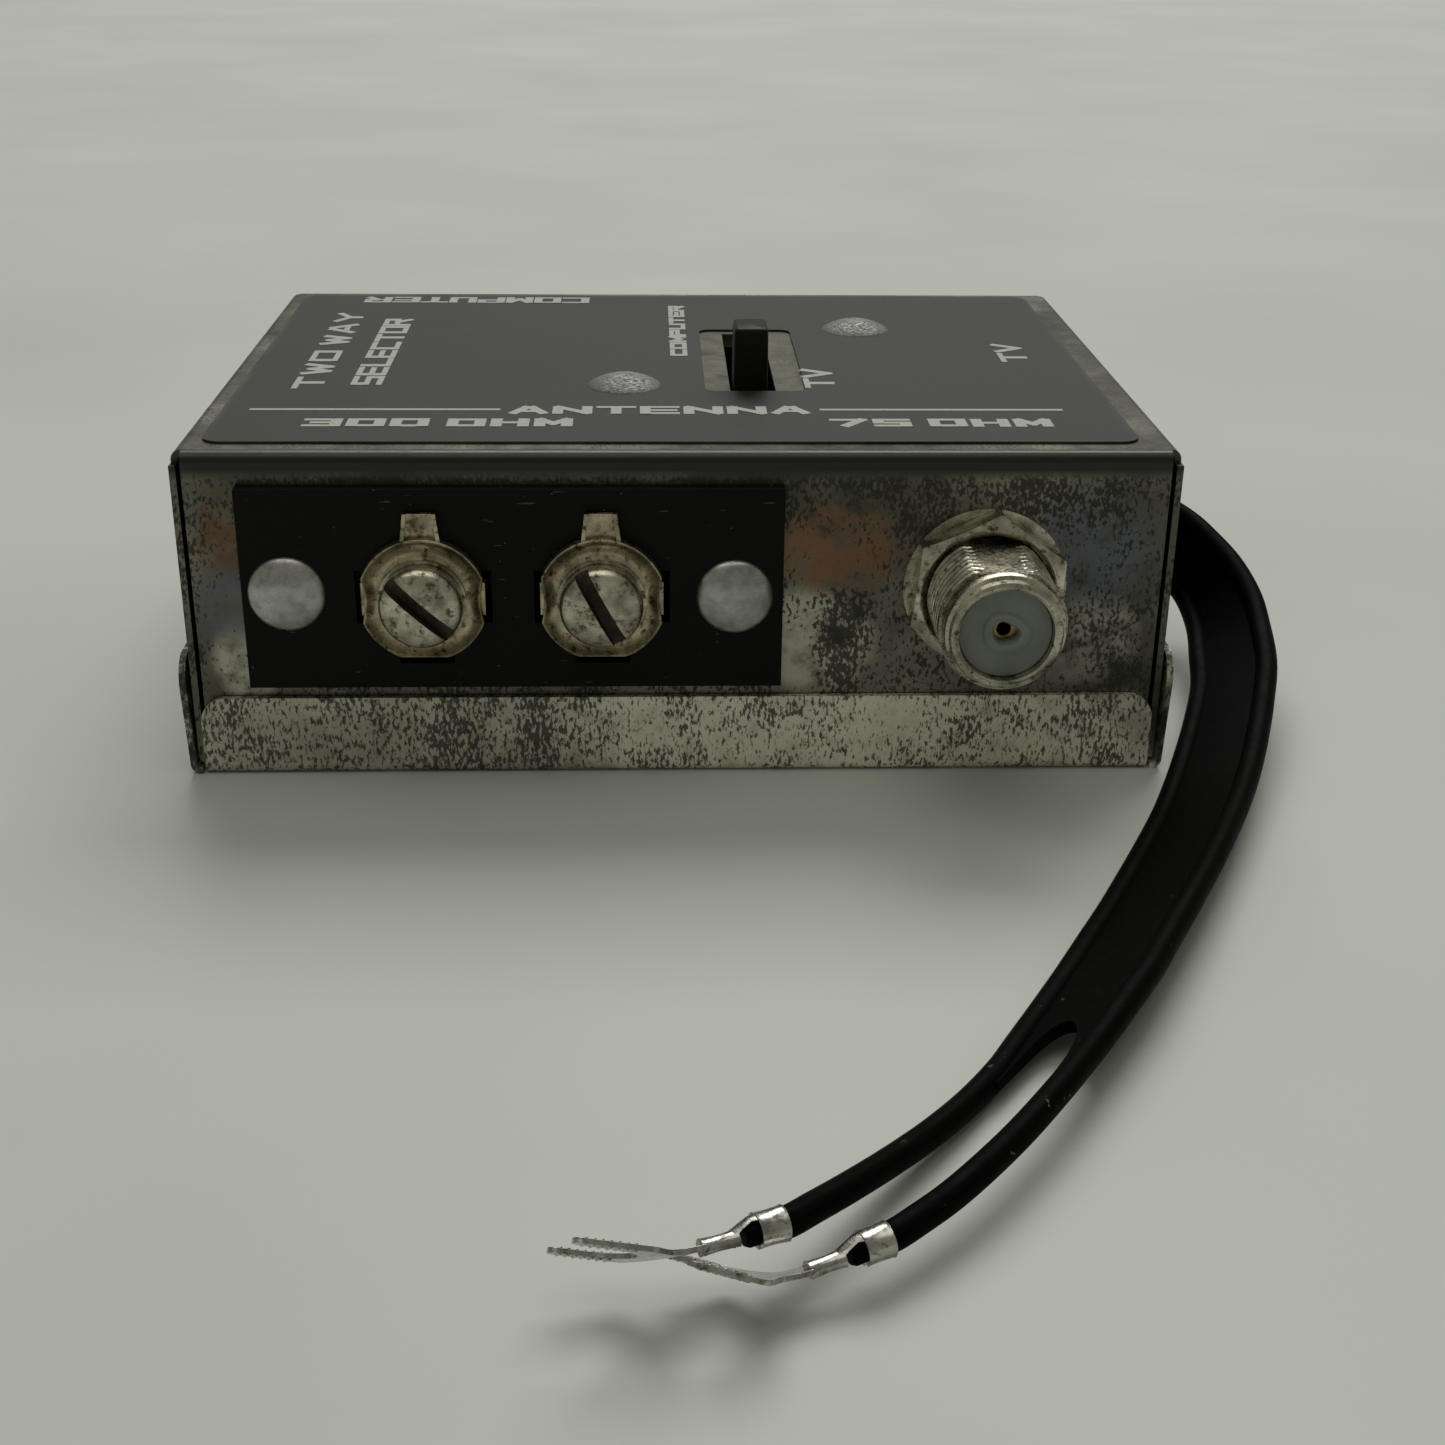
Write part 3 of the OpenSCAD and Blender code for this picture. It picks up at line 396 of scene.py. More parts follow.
def make_materials():
    brass = (0.62, 0.46, 0.2)
    return {
        "tinplate": case_metal(),
        "label": label_print_stock(),
        "aluminium_rivet": satin_metal("rivet_aluminium", (0.56, 0.56, 0.53), 0.32, 0.9, 0.6),
        # Painted shade: a darker copy of the rivet aluminium for the top rivets, which dims the lamps'
        # reflection in them; the higher roughness is their real dull finish.
        "top_rivet": satin_metal("dull_aluminium_painted_shade", (0.23, 0.23, 0.22), 0.62, 0.5, 0.92),
        "terminal_plate": satin_metal(
            "aged_nickel", (0.62, 0.54, 0.38), 0.28, 0.6, 0.36, blotch=(0.1, 0.08, 0.045)),
        "steel_frame": satin_metal("pressed_steel", (0.46, 0.46, 0.44), 0.32, 0.3, 0.7),
        "laminate_brown": moulded("laminate_brown", (0.15, 0.065, 0.025), 0.5, 1.5, 0.02, 0.6),
        "laminate_black": board_laminate(),
        "contact_brass": satin_metal("contact_brass", brass, 0.3, 0.7, 0.75),
        "black_plastic": moulded(
            "black_plastic", (0.002, 0.002, 0.002), 0.38, 2.0, 0.015, Specular_IOR_Level=0.16),
        "spring_steel": satin_metal("spring_steel", (0.5, 0.5, 0.52), 0.2, 0.8, 0.8),
        "nickel_plate": satin_metal(
            "dull_nickel", (0.68, 0.645, 0.52), 0.26, 0.6, 0.36, blotch=(0.1, 0.09, 0.055)),
        # Painted shade: a dark metal that lines the screw slots, where the recess falls in shade.
        "slot_painted_shade": satin_metal("slot_painted_shade", (0.07, 0.062, 0.045), 0.5, 1.2, 0.4, metal=0.6),
        "grey_insulator": moulded("grey_insulator", (0.17, 0.185, 0.17), 0.42, 3.0, 0.03, 0.4),
        "ferrite": moulded("ferrite", (0.03, 0.03, 0.033), 0.55, 4.0, 0.05, 0.6),
        "enamel_wire_red": satin_metal("enamel_red", (0.45, 0.09, 0.03), 0.25, 1.0, 0.8, metal=0.6),
        "enamel_wire_green": satin_metal("enamel_green", (0.06, 0.28, 0.07), 0.25, 1.0, 0.8, metal=0.6),
        "ceramic": moulded("dipped_ceramic", (0.45, 0.19, 0.04), 0.35, 1.5, 0.04),
        "wire_insulation": moulded("wire_vinyl", (0.45, 0.03, 0.02), 0.35, 2.0, 0.02),
        "lead_vinyl": lead_vinyl(),
        "tinned_brass": satin_metal(
            "tinned_lug", (0.58, 0.57, 0.53), 0.24, 0.7, 0.5, blotch=(0.2, 0.18, 0.14)),
    }


# ---- Mesh building ----

class Piece:
    """Gathers vertices and faces in millimetres, then becomes one object on a CAD body."""

    def __init__(self):
        self.points = []
        self.faces = []

    def add(self, points, faces, at=None):
        first = len(self.points)
        at = at or Matrix.Identity(4)
        self.points += [at @ Vector(p) for p in points]
        self.faces += [[first + i for i in f] for f in faces]

    def loft(self, rings, close_ends=True, wrap=True, at=None):
        """Joins rings of equal length with quads. wrap closes each ring on itself."""
        n = len(rings[0])
        last = len(rings) - 1
        across = n if wrap else n - 1
        faces = [
            [i * n + k, i * n + (k + 1) % n, (i + 1) * n + (k + 1) % n, (i + 1) * n + k]
            for i in range(last) for k in range(across)
        ]
        if close_ends:
            faces.append(list(range(n))[::-1])
            faces.append([last * n + k for k in range(n)])
        self.add([p for ring in rings for p in ring], faces, at)

    def lathe(self, profile, at=None, sides=72, closed=True):
        """Turns (radius, height) points about Z. closed joins the last point to the first."""
        outline = profile + profile[:1] if closed else profile
        rings = [
            [(r * math.cos(a), r * math.sin(a), h) for a in turns(sides)] for r, h in outline
        ]
        self.loft(rings, close_ends=False, at=at)

    def plate(self, outline, low, high, at=None):
        """An outline in XY, from height low to height high."""
        rings = [[(x, y, z) for x, y in outline] for z in (low, high)]
        self.loft(rings, at=at)

    def make(self, name, body, slot, material, replaces=(), crease=35, bevel=0.0):
        mesh = bpy.data.meshes.new(name)
        mesh.from_pydata([p * MM for p in self.points], [], self.faces)
        mesh.validate()
        shape = bmesh.new()
        shape.from_mesh(mesh)
        bmesh.ops.remove_doubles(shape, verts=shape.verts, dist=0.0005 * MM)
        bmesh.ops.recalc_face_normals(shape, faces=shape.faces)
        shape.to_mesh(mesh)
        shape.free()
        mesh.shade_smooth()
        mesh.set_sharp_from_angle(angle=math.radians(crease))
        mesh.materials.append(material)
        piece = bpy.data.objects.new(name, mesh)
        bpy.context.scene.collection.objects.link(piece)
        if bevel:
            edge = piece.modifiers.new("edge", "BEVEL")
            edge.width = bevel * MM
            edge.segments = 3
            edge.limit_method = "ANGLE"
            edge.angle_limit = math.radians(crease)
            edge.harden_normals = True
        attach(piece, body)
        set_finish(piece, slot)
        if replaces:
            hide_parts(*replaces)
        return piece


def turns(n, start=0.0):
    return [start + 2 * math.pi * i / n for i in range(n)]


def arc(middle, radius, start, end, steps):
    """Points on an arc, with angles in degrees."""
    angles = [math.radians(start + (end - start) * i / steps) for i in range(steps + 1)]
    return [(middle[0] + radius * math.cos(a), middle[1] + radius * math.sin(a)) for a in angles]


def carve(piece, cutter_points, cutter_faces, at, lining):
    """Cuts a simple closed shape out of a finished piece, and lines the cut with a material."""
    cutter = Piece()
    cutter.add(cutter_points, cutter_faces, at)
    tool = cutter.make(piece.name + ".cutter", piece["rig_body"], piece["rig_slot"], lining)
    cut = piece.modifiers.new("cut", "BOOLEAN")
    cut.object = tool
    cut.solver = "EXACT"
    cut.material_mode = "TRANSFER"
    graph = bpy.context.evaluated_depsgraph_get()
    result = bpy.data.meshes.new_from_object(piece.evaluated_get(graph))
    piece.modifiers.remove(cut)
    piece.data = result
    result.set_sharp_from_angle(angle=math.radians(35))
    bpy.data.objects.remove(tool)


def block(low, high):
    """A box's corners and faces."""
    points = [(x, y, z) for x in (low[0], high[0]) for y in (low[1], high[1]) for z in (low[2], high[2])]
    faces = [[0, 1, 3, 2], [4, 6, 7, 5], [0, 4, 5, 1], [2, 3, 7, 6], [0, 2, 6, 4], [1, 5, 7, 3]]
    return points, faces


# ---- The flat lead ----

# Each point is x, y, z and the lean of the lead's width above level, as in part.scad
LEAD_ROUTE = [
    (35.0, 3.0, 10.6, 90), (38.0, 3.0, 10.6, 90), (41.0, 3.0, 10.3, 90),
    (44.0, 2.2, 9.6, 88), (46.2, 0.2, 8.7, 83), (47.4, -2.6, 7.8, 74),
    (48.1, -6.0, 6.9, 60), (48.2, -10.0, 6.0, 46), (47.7, -14.0, 5.1, 36),
    (46.6, -19.8, 4.2, 30), (44.7, -25.6, 3.5, 27), (42.7, -31.0, 2.9, 24),
    (40.6, -36.2, 2.4, 22), (38.4, -41.2, 2.2, 22), (36.1, -46.0, 2.2, 22),
    (33.8, -50.6, 2.2, 22), (31.4, -55.2, 2.2, 23), (29.0, -59.6, 2.2, 23),
    (26.6, -64.0, 2.2, 23), (24.0, -68.2, 2.2, 24),
]
INNER_LEG_ROUTE = [
    (21.9, -66.8, 1.0), (20.0, -70.0, 1.0), (18.2, -73.0, 1.0), (15.8, -76.4, 1.1),
    (13.2, -79.7, 1.4), (10.5, -82.9, 1.9), (8.0, -85.8, 2.5), (5.9, -88.1, 3.0),
    (4.6, -89.5, 3.3), (3.4, -90.2, 3.4),
]
OUTER_LEG_ROUTE = [
    (26.2, -69.6, 3.2), (24.8, -71.8, 3.1), (23.2, -74.2, 3.0), (20.9, -77.6, 3.0),
    (18.1, -81.4, 2.9), (15.7, -84.3, 2.8), (13.4, -86.7, 2.6), (11.3, -88.6, 2.5),
    (9.9, -89.7, 2.4), (8.8, -90.3, 2.4),
]
LEAD_WIDTH = 7.6
RIM_RADIUS = 0.9
WEB_HALF = 0.4
LEG_RADIUS = 0.85
STEPS_BETWEEN_POINTS = 5
ARCH_FROM = 3
ARCH_LENGTH = 10
ARCH_FINE = 4
# Radius of each leg at the end that goes into its lug
LEG_END_RADIUS = 0.72


def smooth_route(route, steps=STEPS_BETWEEN_POINTS):
    """A Catmull-Rom curve through the route's points, its lean carried along."""
    points = [Vector(p) for p in route]
    points = [2 * points[0] - points[1]] + points + [2 * points[-1] - points[-2]]
    result = []
    for i in range(1, len(points) - 2):
        a, b, c, d = points[i - 1:i + 3]
        for k in range(steps):
            t = k / steps
            result.append(0.5 * (
                2 * b + (c - a) * t + (2 * a - 5 * b + 4 * c - d) * t * t
                + (3 * b - a - 3 * c + d) * t ** 3))
    result.append(points[-2])
    return result


def heading(points, i):
    step = Vector(points[min(i + 1, len(points) - 1)][:3]) - Vector(points[max(i - 1, 0)][:3])
    return step.normalized()


def lead_axes(points, i):
    """The lead's direction, the direction across its width, and the one through it."""
    ahead = heading(points, i)
    out = Vector((0, 0, 1)).cross(ahead).normalized()
    lean = math.radians(points[i][3])
    across = math.cos(lean) * out + math.sin(lean) * ahead.cross(out)
    return ahead, across, ahead.cross(across)


def tube_rings(points, radius, sides=16):
    """Rings about a route, turned as little as possible from one to the next."""
    rings = []
    side = None
    for i, point in enumerate(points):
        ahead = heading(points, i)
        if side is None:
            side = Vector((0, 0, 1)).cross(ahead).normalized()
        side = (side - ahead * side.dot(ahead)).normalized()
        up = ahead.cross(side)
        r = radius(i / (len(points) - 1)) if callable(radius) else radius
        rings.append([Vector(point[:3]) + r * (math.cos(a) * side + math.sin(a) * up) for a in turns(sides)])
    return rings


def rim_route(side):
    """The middle of one of the lead's two wires, up to the split. side is 1 for the outer one."""
    offset = side * (LEAD_WIDTH / 2 - RIM_RADIUS)
    return [
        Vector(p[:3]) + offset * lead_axes(LEAD_ROUTE, i)[1] for i, p in enumerate(LEAD_ROUTE)
    ][:-1]


INNER_RIM = rim_route(-1) + [Vector(INNER_LEG_ROUTE[0])]
OUTER_STRAND = rim_route(1) + [Vector(p) for p in OUTER_LEG_ROUTE]
RIBBON_STEPS = (len(LEAD_ROUTE) - 1) * STEPS_BETWEEN_POINTS + 1


def web_ring(inner, outer, gap=0.0, side=0, count=7):
    """One ring of the web between two wires. With a side, only the fin beyond half-width gap."""
    middle = (inner + outer) / 2
    across = (outer - inner).normalized()
    reach = (outer - inner).length / 2
    spans = [-reach + 2 * reach * k / count for k in range(count + 1)]
    if side:
        spans = [side * (gap + (reach - gap) * k / count) for k in range(count + 1)]
    return middle, across, spans


def add_lead(paint):
    """The ribbon, its two thick edges, and the outer leg, which carries on from the outer edge."""
    lead = Piece()
    inner = smooth_route(INNER_RIM)
    outer = smooth_route(OUTER_STRAND)
    lead.loft(tube_rings(inner, RIM_RADIUS))
    leg_share = (RIBBON_STEPS - 1) / (len(outer) - 1)

    def thick(t):
        if t > 0.97:
            return LEG_END_RADIUS
        return RIM_RADIUS - (RIM_RADIUS - LEG_RADIUS) * min(1, max(0, (t - leg_share) / 0.08))

    lead.loft(tube_rings(outer, thick))
    centre = smooth_route(LEAD_ROUTE)
    rings = []
    for i in range(RIBBON_STEPS - 1):
        middle, across, spans = web_ring(inner[i], outer[i])
        through = lead_axes(centre, i)[2]
        top = [middle + s * across + WEB_HALF * through for s in spans]
        low = [middle + s * across - WEB_HALF * through for s in spans[::-1]]
        rings.append(top + low)
    lead.loft(rings)
    # Past the end of the moulded ribbon the web goes on a little, then narrows to a fin along
    # each leg, which leaves an arch between them
    legs = smooth_route(INNER_LEG_ROUTE), outer[RIBBON_STEPS - 1:]
    through = lead_axes(centre, RIBBON_STEPS - 1)[2]
    for side in (-1, 1):
        rings = []
        for k in range(-1, ARCH_FINE * (ARCH_FROM + ARCH_LENGTH)):
            place = max(k, 0) / ARCH_FINE
            t = min(1, max(0, (place - ARCH_FROM) / ARCH_LENGTH))
            at = int(place), int(place) + 1
            share = place - at[0]
            first, second = (leg[at[0]].lerp(leg[at[1]], share) for leg in legs)
            if k < 0:
                first, second = inner[RIBBON_STEPS - 2], outer[RIBBON_STEPS - 2]
            gap = ((second - first).length / 2 - 1.08) * math.sqrt(1 - (1 - t) ** 2)
            middle, across, spans = web_ring(first, second, gap, side, 3)
            half = WEB_HALF * (1 - 0.35 * t)
            top = [middle + s * across + half * through for s in spans]
            rings.append(top + [p - 2 * half * through for p in top[::-1]])
        lead.loft(rings)
    piece = lead.make(
        "flat_lead", "case", "lead_vinyl", paint, ["twin_lead", "lead_leg_outer"], crease=50)
    path = centre[STEPS_BETWEEN_POINTS:-2 * STEPS_BETWEEN_POINTS] + outer[RIBBON_STEPS + 4:-4]
    return piece, [Vector(p[:3]) * MM for p in path]


def add_inner_leg(paint):
    leg = Piece()
    route = smooth_route(INNER_LEG_ROUTE)
    leg.loft(tube_rings(route, lambda t: LEG_END_RADIUS if t > 0.95 else RIM_RADIUS - 0.05 * min(1, t / 0.2)))
    piece = leg.make("inner_leg", "case", "lead_vinyl", paint, ["lead_leg_inner"], crease=50)
    return piece, [p * MM for p in route[:-3]]


# ---- Spade lugs ----

BARREL_LENGTH = 1.6
CRIMP = (2.7, 4.7)
FORK_START = Vector((4.6, 0, -0.1))
FORK_THICK = 0.28
FORK_HALF = 2.8
FORK_GAP_HALF = 1.9
FORK_LENGTH = 7.4
BEND_REACH = 4.0


def rolled(radius, start, end, steps=28):
    """A strip of sheet bent round X, seen along X, with angles in degrees from up."""
    outer = [(math.sin(a), math.cos(a)) for a in
             (math.radians(start + (end - start) * i / steps) for i in range(steps + 1))]
    thick = 0.22
    return [(radius * y, radius * z) for y, z in outer] + [
        ((radius - thick) * y, (radius - thick) * z) for y, z in outer[::-1]]


def bent(along, across, up, bend):
    """A point of the flat fork, after its root is curved up through bend degrees."""
    rate = math.radians(bend) / BEND_REACH
    curved = min(along, BEND_REACH)
    turn = rate * curved
    straight = along - curved
    x = math.sin(turn) / rate + straight * math.cos(turn) - up * math.sin(turn)
    z = (1 - math.cos(turn)) / rate + straight * math.sin(turn) + up * math.cos(turn)
    return FORK_START + Vector((x, across, z))


def strip_ring(along, low, high, thick, bend):
    spans = [low + (high - low) * k / 4 for k in range(5)]
    over = [bent(along, y, thick / 2, bend) for y in spans]
    under = [bent(along, y, -thick / 2, bend) for y in spans[::-1]]
    return over + under


def add_fork(lug, bend, place):
    """Neck, shoulders and two serrated prongs, all curved up from the crimp."""
    neck = ((0, 0.75), (0.7, 0.7), (1.3, 0.72), (1.7, 0.85), (2.1, 1.2), (2.5, 1.75), (2.9, 2.3),
            (3.2, 2.6), (3.5, 2.75))
    lug.loft([strip_ring(x, -w, w, FORK_THICK, bend) for x, w in neck], at=place)
    notch = 3.5 + FORK_GAP_HALF
    prong = [(3.45, 0.02, 2.74), (3.6, 0.75, 2.78), (3.8, 1.05, FORK_HALF), (4.1, 1.38, FORK_HALF),
             (4.5, 1.68, FORK_HALF), (notch, FORK_GAP_HALF, FORK_HALF)]
    prong += [(notch + 0.4 * k, FORK_GAP_HALF, FORK_HALF) for k in range(1, 4)]
    prong += [(FORK_LENGTH - 0.4, 1.92, FORK_HALF), (FORK_LENGTH - 0.15, 2.0, 2.72),
              (FORK_LENGTH - 0.03, 2.12, 2.58), (FORK_LENGTH, 2.25, 2.45)]
    for side in (-1, 1):
        thick = 0.98 * FORK_THICK
        rings = [strip_ring(x, side * low, side * high, thick, bend) for x, low, high in prong]
        lug.loft(rings, at=place)
        for k in range(7):
            x = 4.3 + 0.42 * k
            inner = 1.72 if k == 0 else FORK_GAP_HALF
            for face in (-1, 1):
                z = face * FORK_THICK / 2
                ridge = [(x - 0.12, z), (x, z + face * 0.08), (x + 0.12, z), (x, z - face * 0.05)]
                ends = side * (inner + 0.04), side * (FORK_HALF - 0.04)
                lug.loft([[bent(px, y, pz, bend) for px, pz in ridge] for y in ends], at=place)


def add_lug(name, at, turn, bend, paint):
    """A crimped lug: insulation barrel, open notch, wire crimp, neck and serrated fork."""
    place = Matrix.Translation(at)
    for angle, axis in zip(turn[::-1], "ZYX"):
        place = place @ Matrix.Rotation(math.radians(angle), 4, axis)
    lug = Piece()
    # Barrel, rolled round the insulation with its seam underneath
    rings = []
    for x, r in ((0, 1.0), (0.12, 0.95), (0.8, 0.92), (BARREL_LENGTH - 0.1, 0.94), (BARREL_LENGTH, 0.97)):
        rings.append([(x, y, z) for y, z in rolled(r, -168, 168)])
    lug.loft(rings, at=place)
    # Spine that runs down from the barrel to the wire crimp, open underneath
    rings = []
    for x, r, drop, spread in ((BARREL_LENGTH - 0.3, 0.93, 0, 62), (BARREL_LENGTH + 0.3, 0.86, 0.04, 50),
                               (CRIMP[0] - 0.2, 0.72, 0.14, 58), (CRIMP[0] + 0.3, 0.55, 0.16, 85)):
        rings.append([(x, y, z - drop) for y, z in rolled(r, -spread, spread)])
    lug.loft(rings, at=place)
    # Wire crimp: two wings curled in to meet, a little fatter at both ends
    rings = []
    crimp = ((CRIMP[0], 0.56), (CRIMP[0] + 0.2, 0.5), (3.7, 0.46),
             (CRIMP[1] - 0.2, 0.5), (CRIMP[1], 0.54))
    for x, r in crimp:
        rings.append([
            (x, 1.15 * r * math.cos(a), -0.12 + r * math.sin(a) * (1 - 0.25 * (math.sin(a) < -0.9)))
            for a in turns(28)])
    lug.loft(rings, at=place)
    add_fork(lug, bend, place)
    return lug.make(name, "case", "tinned_brass", paint, ["spade_" + name], crease=40, bevel=0.05), place


def add_insulation_end(name, place, paint):
    """The stripped end of the insulation, which shows in the lug's open notch."""
    end = Piece()
    end.loft([[(x, r * math.cos(a), r * math.sin(a) - 0.05) for a in turns(20)]
              for x, r in ((0.2, 0.6), (1.5, 0.66), (2.1, 0.68), (2.35, 0.55))], at=place)
    piece = end.make(name, "case", "lead_vinyl", paint)
    return piece


# ---- Threaded socket ----

THREAD_RADIUS = 4.76
THREAD_PITCH = 25.4 / 32
THREAD_END = 9.0
SOCKET_REACH = 10.8
BARREL_FLAT = 4.11


def thread_depth(height, angle):
    """How far the thread is cut in, at a height and an angle round the barrel."""
    turn = (height / THREAD_PITCH - angle / (2 * math.pi)) % 1
    groove = max(0.0, 1 - abs(turn - 0.5) / 0.36)
    return 0.42 * groove * min(1.0, max(0.0, (THREAD_END - 0.1 - height) / 0.7))


def socket_place():
    return facing_front(SOCKET.x, SOCKET.z, FRONT_WALL)


def add_socket_body(paint):
    body = Piece()
    place = socket_place()
    sides = 96
    nose = [(4.3, THREAD_END), (4.22, 9.12), (4.22, 9.32), (4.5, 9.42), (4.5, 9.95), (4.42, 10.12),
            (4.16, 10.22), (4.14, 10.32), (4.2, 10.42), (4.05, 10.68), (3.85, 10.79),
            (3.66, 10.8), (3.5, 10.7), (3.45, 10.5), (3.45, -6.0), (4.0, -6.0), (4.0, -2.0),
            (6.4, -2.0), (6.4, -SHEET), (THREAD_RADIUS, -SHEET)]
    rings = []
    rows = int((THREAD_END + SHEET) / THREAD_PITCH * 9)
    for row in range(rows + 1):
        height = -SHEET + (THREAD_END + SHEET) * row / rows
        ring = []
        for angle in turns(sides):
            r = THREAD_RADIUS - thread_depth(height, angle)
            ring.append((r * math.cos(angle), min(r * math.sin(angle), BARREL_FLAT), height))
        rings.append(ring)
    for r, height in nose:
        flat = BARREL_FLAT if height <= THREAD_END else BARREL_FLAT + (height - THREAD_END) * 2
        rings.append([(r * math.cos(a), min(r * math.sin(a), max(flat, 0)) if height > 0 else r * math.sin(a),
                       height) for a in turns(sides)])
    body.loft(rings, close_ends=False, at=place)
    body.make("socket_barrel", "case", "nickel_plate", paint, ["f_socket_body"], crease=28)


def hex_radius(angle, across_flats, turn):
    sixth = math.pi / 3
    return across_flats / 2 / math.cos((angle - turn) % sixth - sixth / 2)


def add_hex_nut(paint):
    """Hexagon with a turned bevel on its outer face and a countersunk bore."""
    nut = Piece()
    flats, thick, turn = 11.1, 2.2, math.radians(24)
    bevel_from = 5.35
    place = facing_front(SOCKET.x, SOCKET.z, FRONT_WALL - 0.5)
    rings = []
    for share, height in ((0, 0.05), (1, 0.05), (1, 1.0), (1, None), (0.6, None), (0.3, None)):
        ring = []
        for angle in turns(144):
            edge = hex_radius(angle, flats, turn)
            r = 5.2 + (edge - 5.2) * share if height is None else (edge if share else 4.84)
            h = height if height is not None else thick - max(0.0, r - bevel_from) * 0.55
            ring.append((r * math.cos(angle), r * math.sin(angle), h))
        rings.append(ring)
    for r, h in ((5.2, thick), (5.08, thick - 0.03), (4.84, thick - 0.25)):
        rings.append([(r * math.cos(a), r * math.sin(a), h) for a in turns(144)])
    rings.append(rings[0])
    nut.loft(rings, close_ends=False, at=place)
    nut.make("hex_nut", "case", "nickel_plate", paint, ["f_hex_nut"], crease=22)


def add_socket_insulator(paint):
    """Moulded disc in the socket's mouth, with a raised ring round an uneven hole."""
    plug = Piece()
    profile = [(3.45, -6.0), (3.45, 9.9), (3.38, 10.02), (2.15, 10.04), (1.75, 10.12), (1.55, 10.32),
               (1.25, 10.36), (0.98, 10.3), (0.85, 10.0), (0.85, 9.3), (1.25, 9.2), (1.25, -6.0)]
    rings = []
    for r, h in profile + profile[:1]:
        ring = []
        for angle in turns(72):
            near_hole = r < 1.8 and h > 9.25
            uneven = 0.1 * math.cos(2 * angle + 0.7) + 0.07 * math.cos(3 * angle) if near_hole else 0
            ring.append(((r + uneven) * math.cos(angle), (r + uneven) * math.sin(angle),
                         h + (0.06 * math.cos(angle - 2) if 1.2 < r < 1.8 and h > 10.2 else 0)))
        rings.append(ring)
    plug.loft(rings, close_ends=False, at=socket_place())
    plug.make("socket_insulator", "case", "grey_insulator", paint, ["f_insulator"])


# ---- Screw terminals ----

PLATE_RADIUS = 4.95
PLATE_HALF = 4.7
PLATE_DROP = 4.6


def plate_edge(angle):
    """How far the plate reaches at an angle: a disc with hollow sides and a flat foot."""
    x, y = math.cos(angle), math.sin(angle)
    reach = PLATE_RADIUS
    if abs(y) < 0.42:
        hollow = 0.34 * (1 - (y / 0.42) ** 2)
        reach = min(reach, PLATE_HALF / abs(x) - hollow)
    if y < 0:
        reach = min(reach, PLATE_DROP / -y)
    return reach


def add_terminal_plate(side, at, paint):
    plate = Piece()
    place = facing_front(at.x, at.z, BOARD_FACE)
    # Share of the way from the hole to the edge, and the height there
    section = [(0, 0.05), (0, 0.62), (0.04, 0.7), (0.42, 0.7), (0.5, 0.52), (0.6, 0.44), (0.72, 0.5),
               (0.84, 0.68), (0.9, 0.88), (0.945, 0.97), (0.98, 0.9), (1, 0.7), (1, 0.2), (0.94, 0.0)]
    rings = []
    for share, height in section + section[:1]:
        rings.append([
            ((1.9 + (plate_edge(a) - 1.9) * share) * math.cos(a),
             (1.9 + (plate_edge(a) - 1.9) * share) * math.sin(a), height) for a in turns(120)])
    plate.loft(rings, close_ends=False, at=place)
    # Tab at the top: a tapered tongue with its two edges turned out
    foot, head, foot_y, head_y = 1.5, 1.2, PLATE_RADIUS - 0.5, 6.8
    outline = [(-foot, foot_y), (foot, foot_y), (head, head_y), (-head, head_y)]
    plate.plate(outline, 0.05, 0.35, at=place)
    for s in (-1, 1):
        edge = [(s * foot, foot_y), (s * (foot + 0.02), foot_y), (s * (head + 0.02), head_y),
                (s * (head - 0.28), head_y), (s * (foot - 0.28), foot_y)]
        plate.plate(edge if s > 0 else edge[::-1], 0.05, 0.72, at=place)
    lip = [(-head, head_y - 0.22), (head, head_y - 0.22), (head, head_y), (-head, head_y)]
    plate.plate(lip, 0.05, 0.6, at=place)
    # Legs that go back through the board, and the foot's tongue
    for s in (-1, 1):
        low = (s * 4.45 - 0.22, -1.3, -3)
        plate.add(*block(low, (low[0] + 0.44, 1.3, 0.4)), at=place)
    plate.add(*block((-1.7, -4.58, -2.2), (1.7, -4.2, 0.3)), at=place)
    plate.make(
        "plate_" + side, "case", "nickel_plate", paint, ["terminal_plate_" + side], crease=30, bevel=0.04)


def add_terminal_screw(side, at, turn, paint, slot_shade):
    """Slotted binding screw: bevelled head with a slight crown, and a threaded shank."""
    screw = Piece()
    seat = BOARD_FACE - 1.3
    place = facing_front(at.x, at.z, seat) @ Matrix.Rotation(math.radians(turn), 4, "Z")
    head = [(0.0, 2.1), (0.8, 2.08), (1.6, 2.0), (2.3, 1.86), (2.72, 1.74), (2.88, 1.64), (3.06, 1.38),
            (3.15, 1.1), (3.15, 0.3), (3.1, 0.06), (2.95, 0.0), (1.75, 0.0)]
    rings = [[(r * math.cos(a), r * math.sin(a), h) for a in turns(96)] for r, h in head]
    turns_of_thread = 9
    pitch, length = 0.794, 8.0
    for row in range(turns_of_thread * 8 + 1):
        h = -0.4 - 7.2 * row / (turns_of_thread * 8)
        ring = []
        for a in turns(96):
            cut = max(0.0, 1 - abs((h / pitch - a / (2 * math.pi)) % 1 - 0.5) / 0.36)
            r = 1.75 - 0.34 * cut
            ring.append((r * math.cos(a), r * math.sin(a), h))
        rings.append(ring)
    rings.append([(0.01 * math.cos(a), 0.01 * math.sin(a), -length) for a in turns(96)])
    screw.loft(rings, close_ends=False, at=place)
    piece = screw.make("screw_" + side, side + "_screw", "nickel_plate", paint, ["terminal_screw_" + side])
    points, faces = block((-4, -0.56, 0.9), (4, 0.56, 3))
    # The slot's walls and floor take the dark lining, painted shade.
    carve(piece, points, faces, place, slot_shade)


# ---- Rivets, knob and label ----

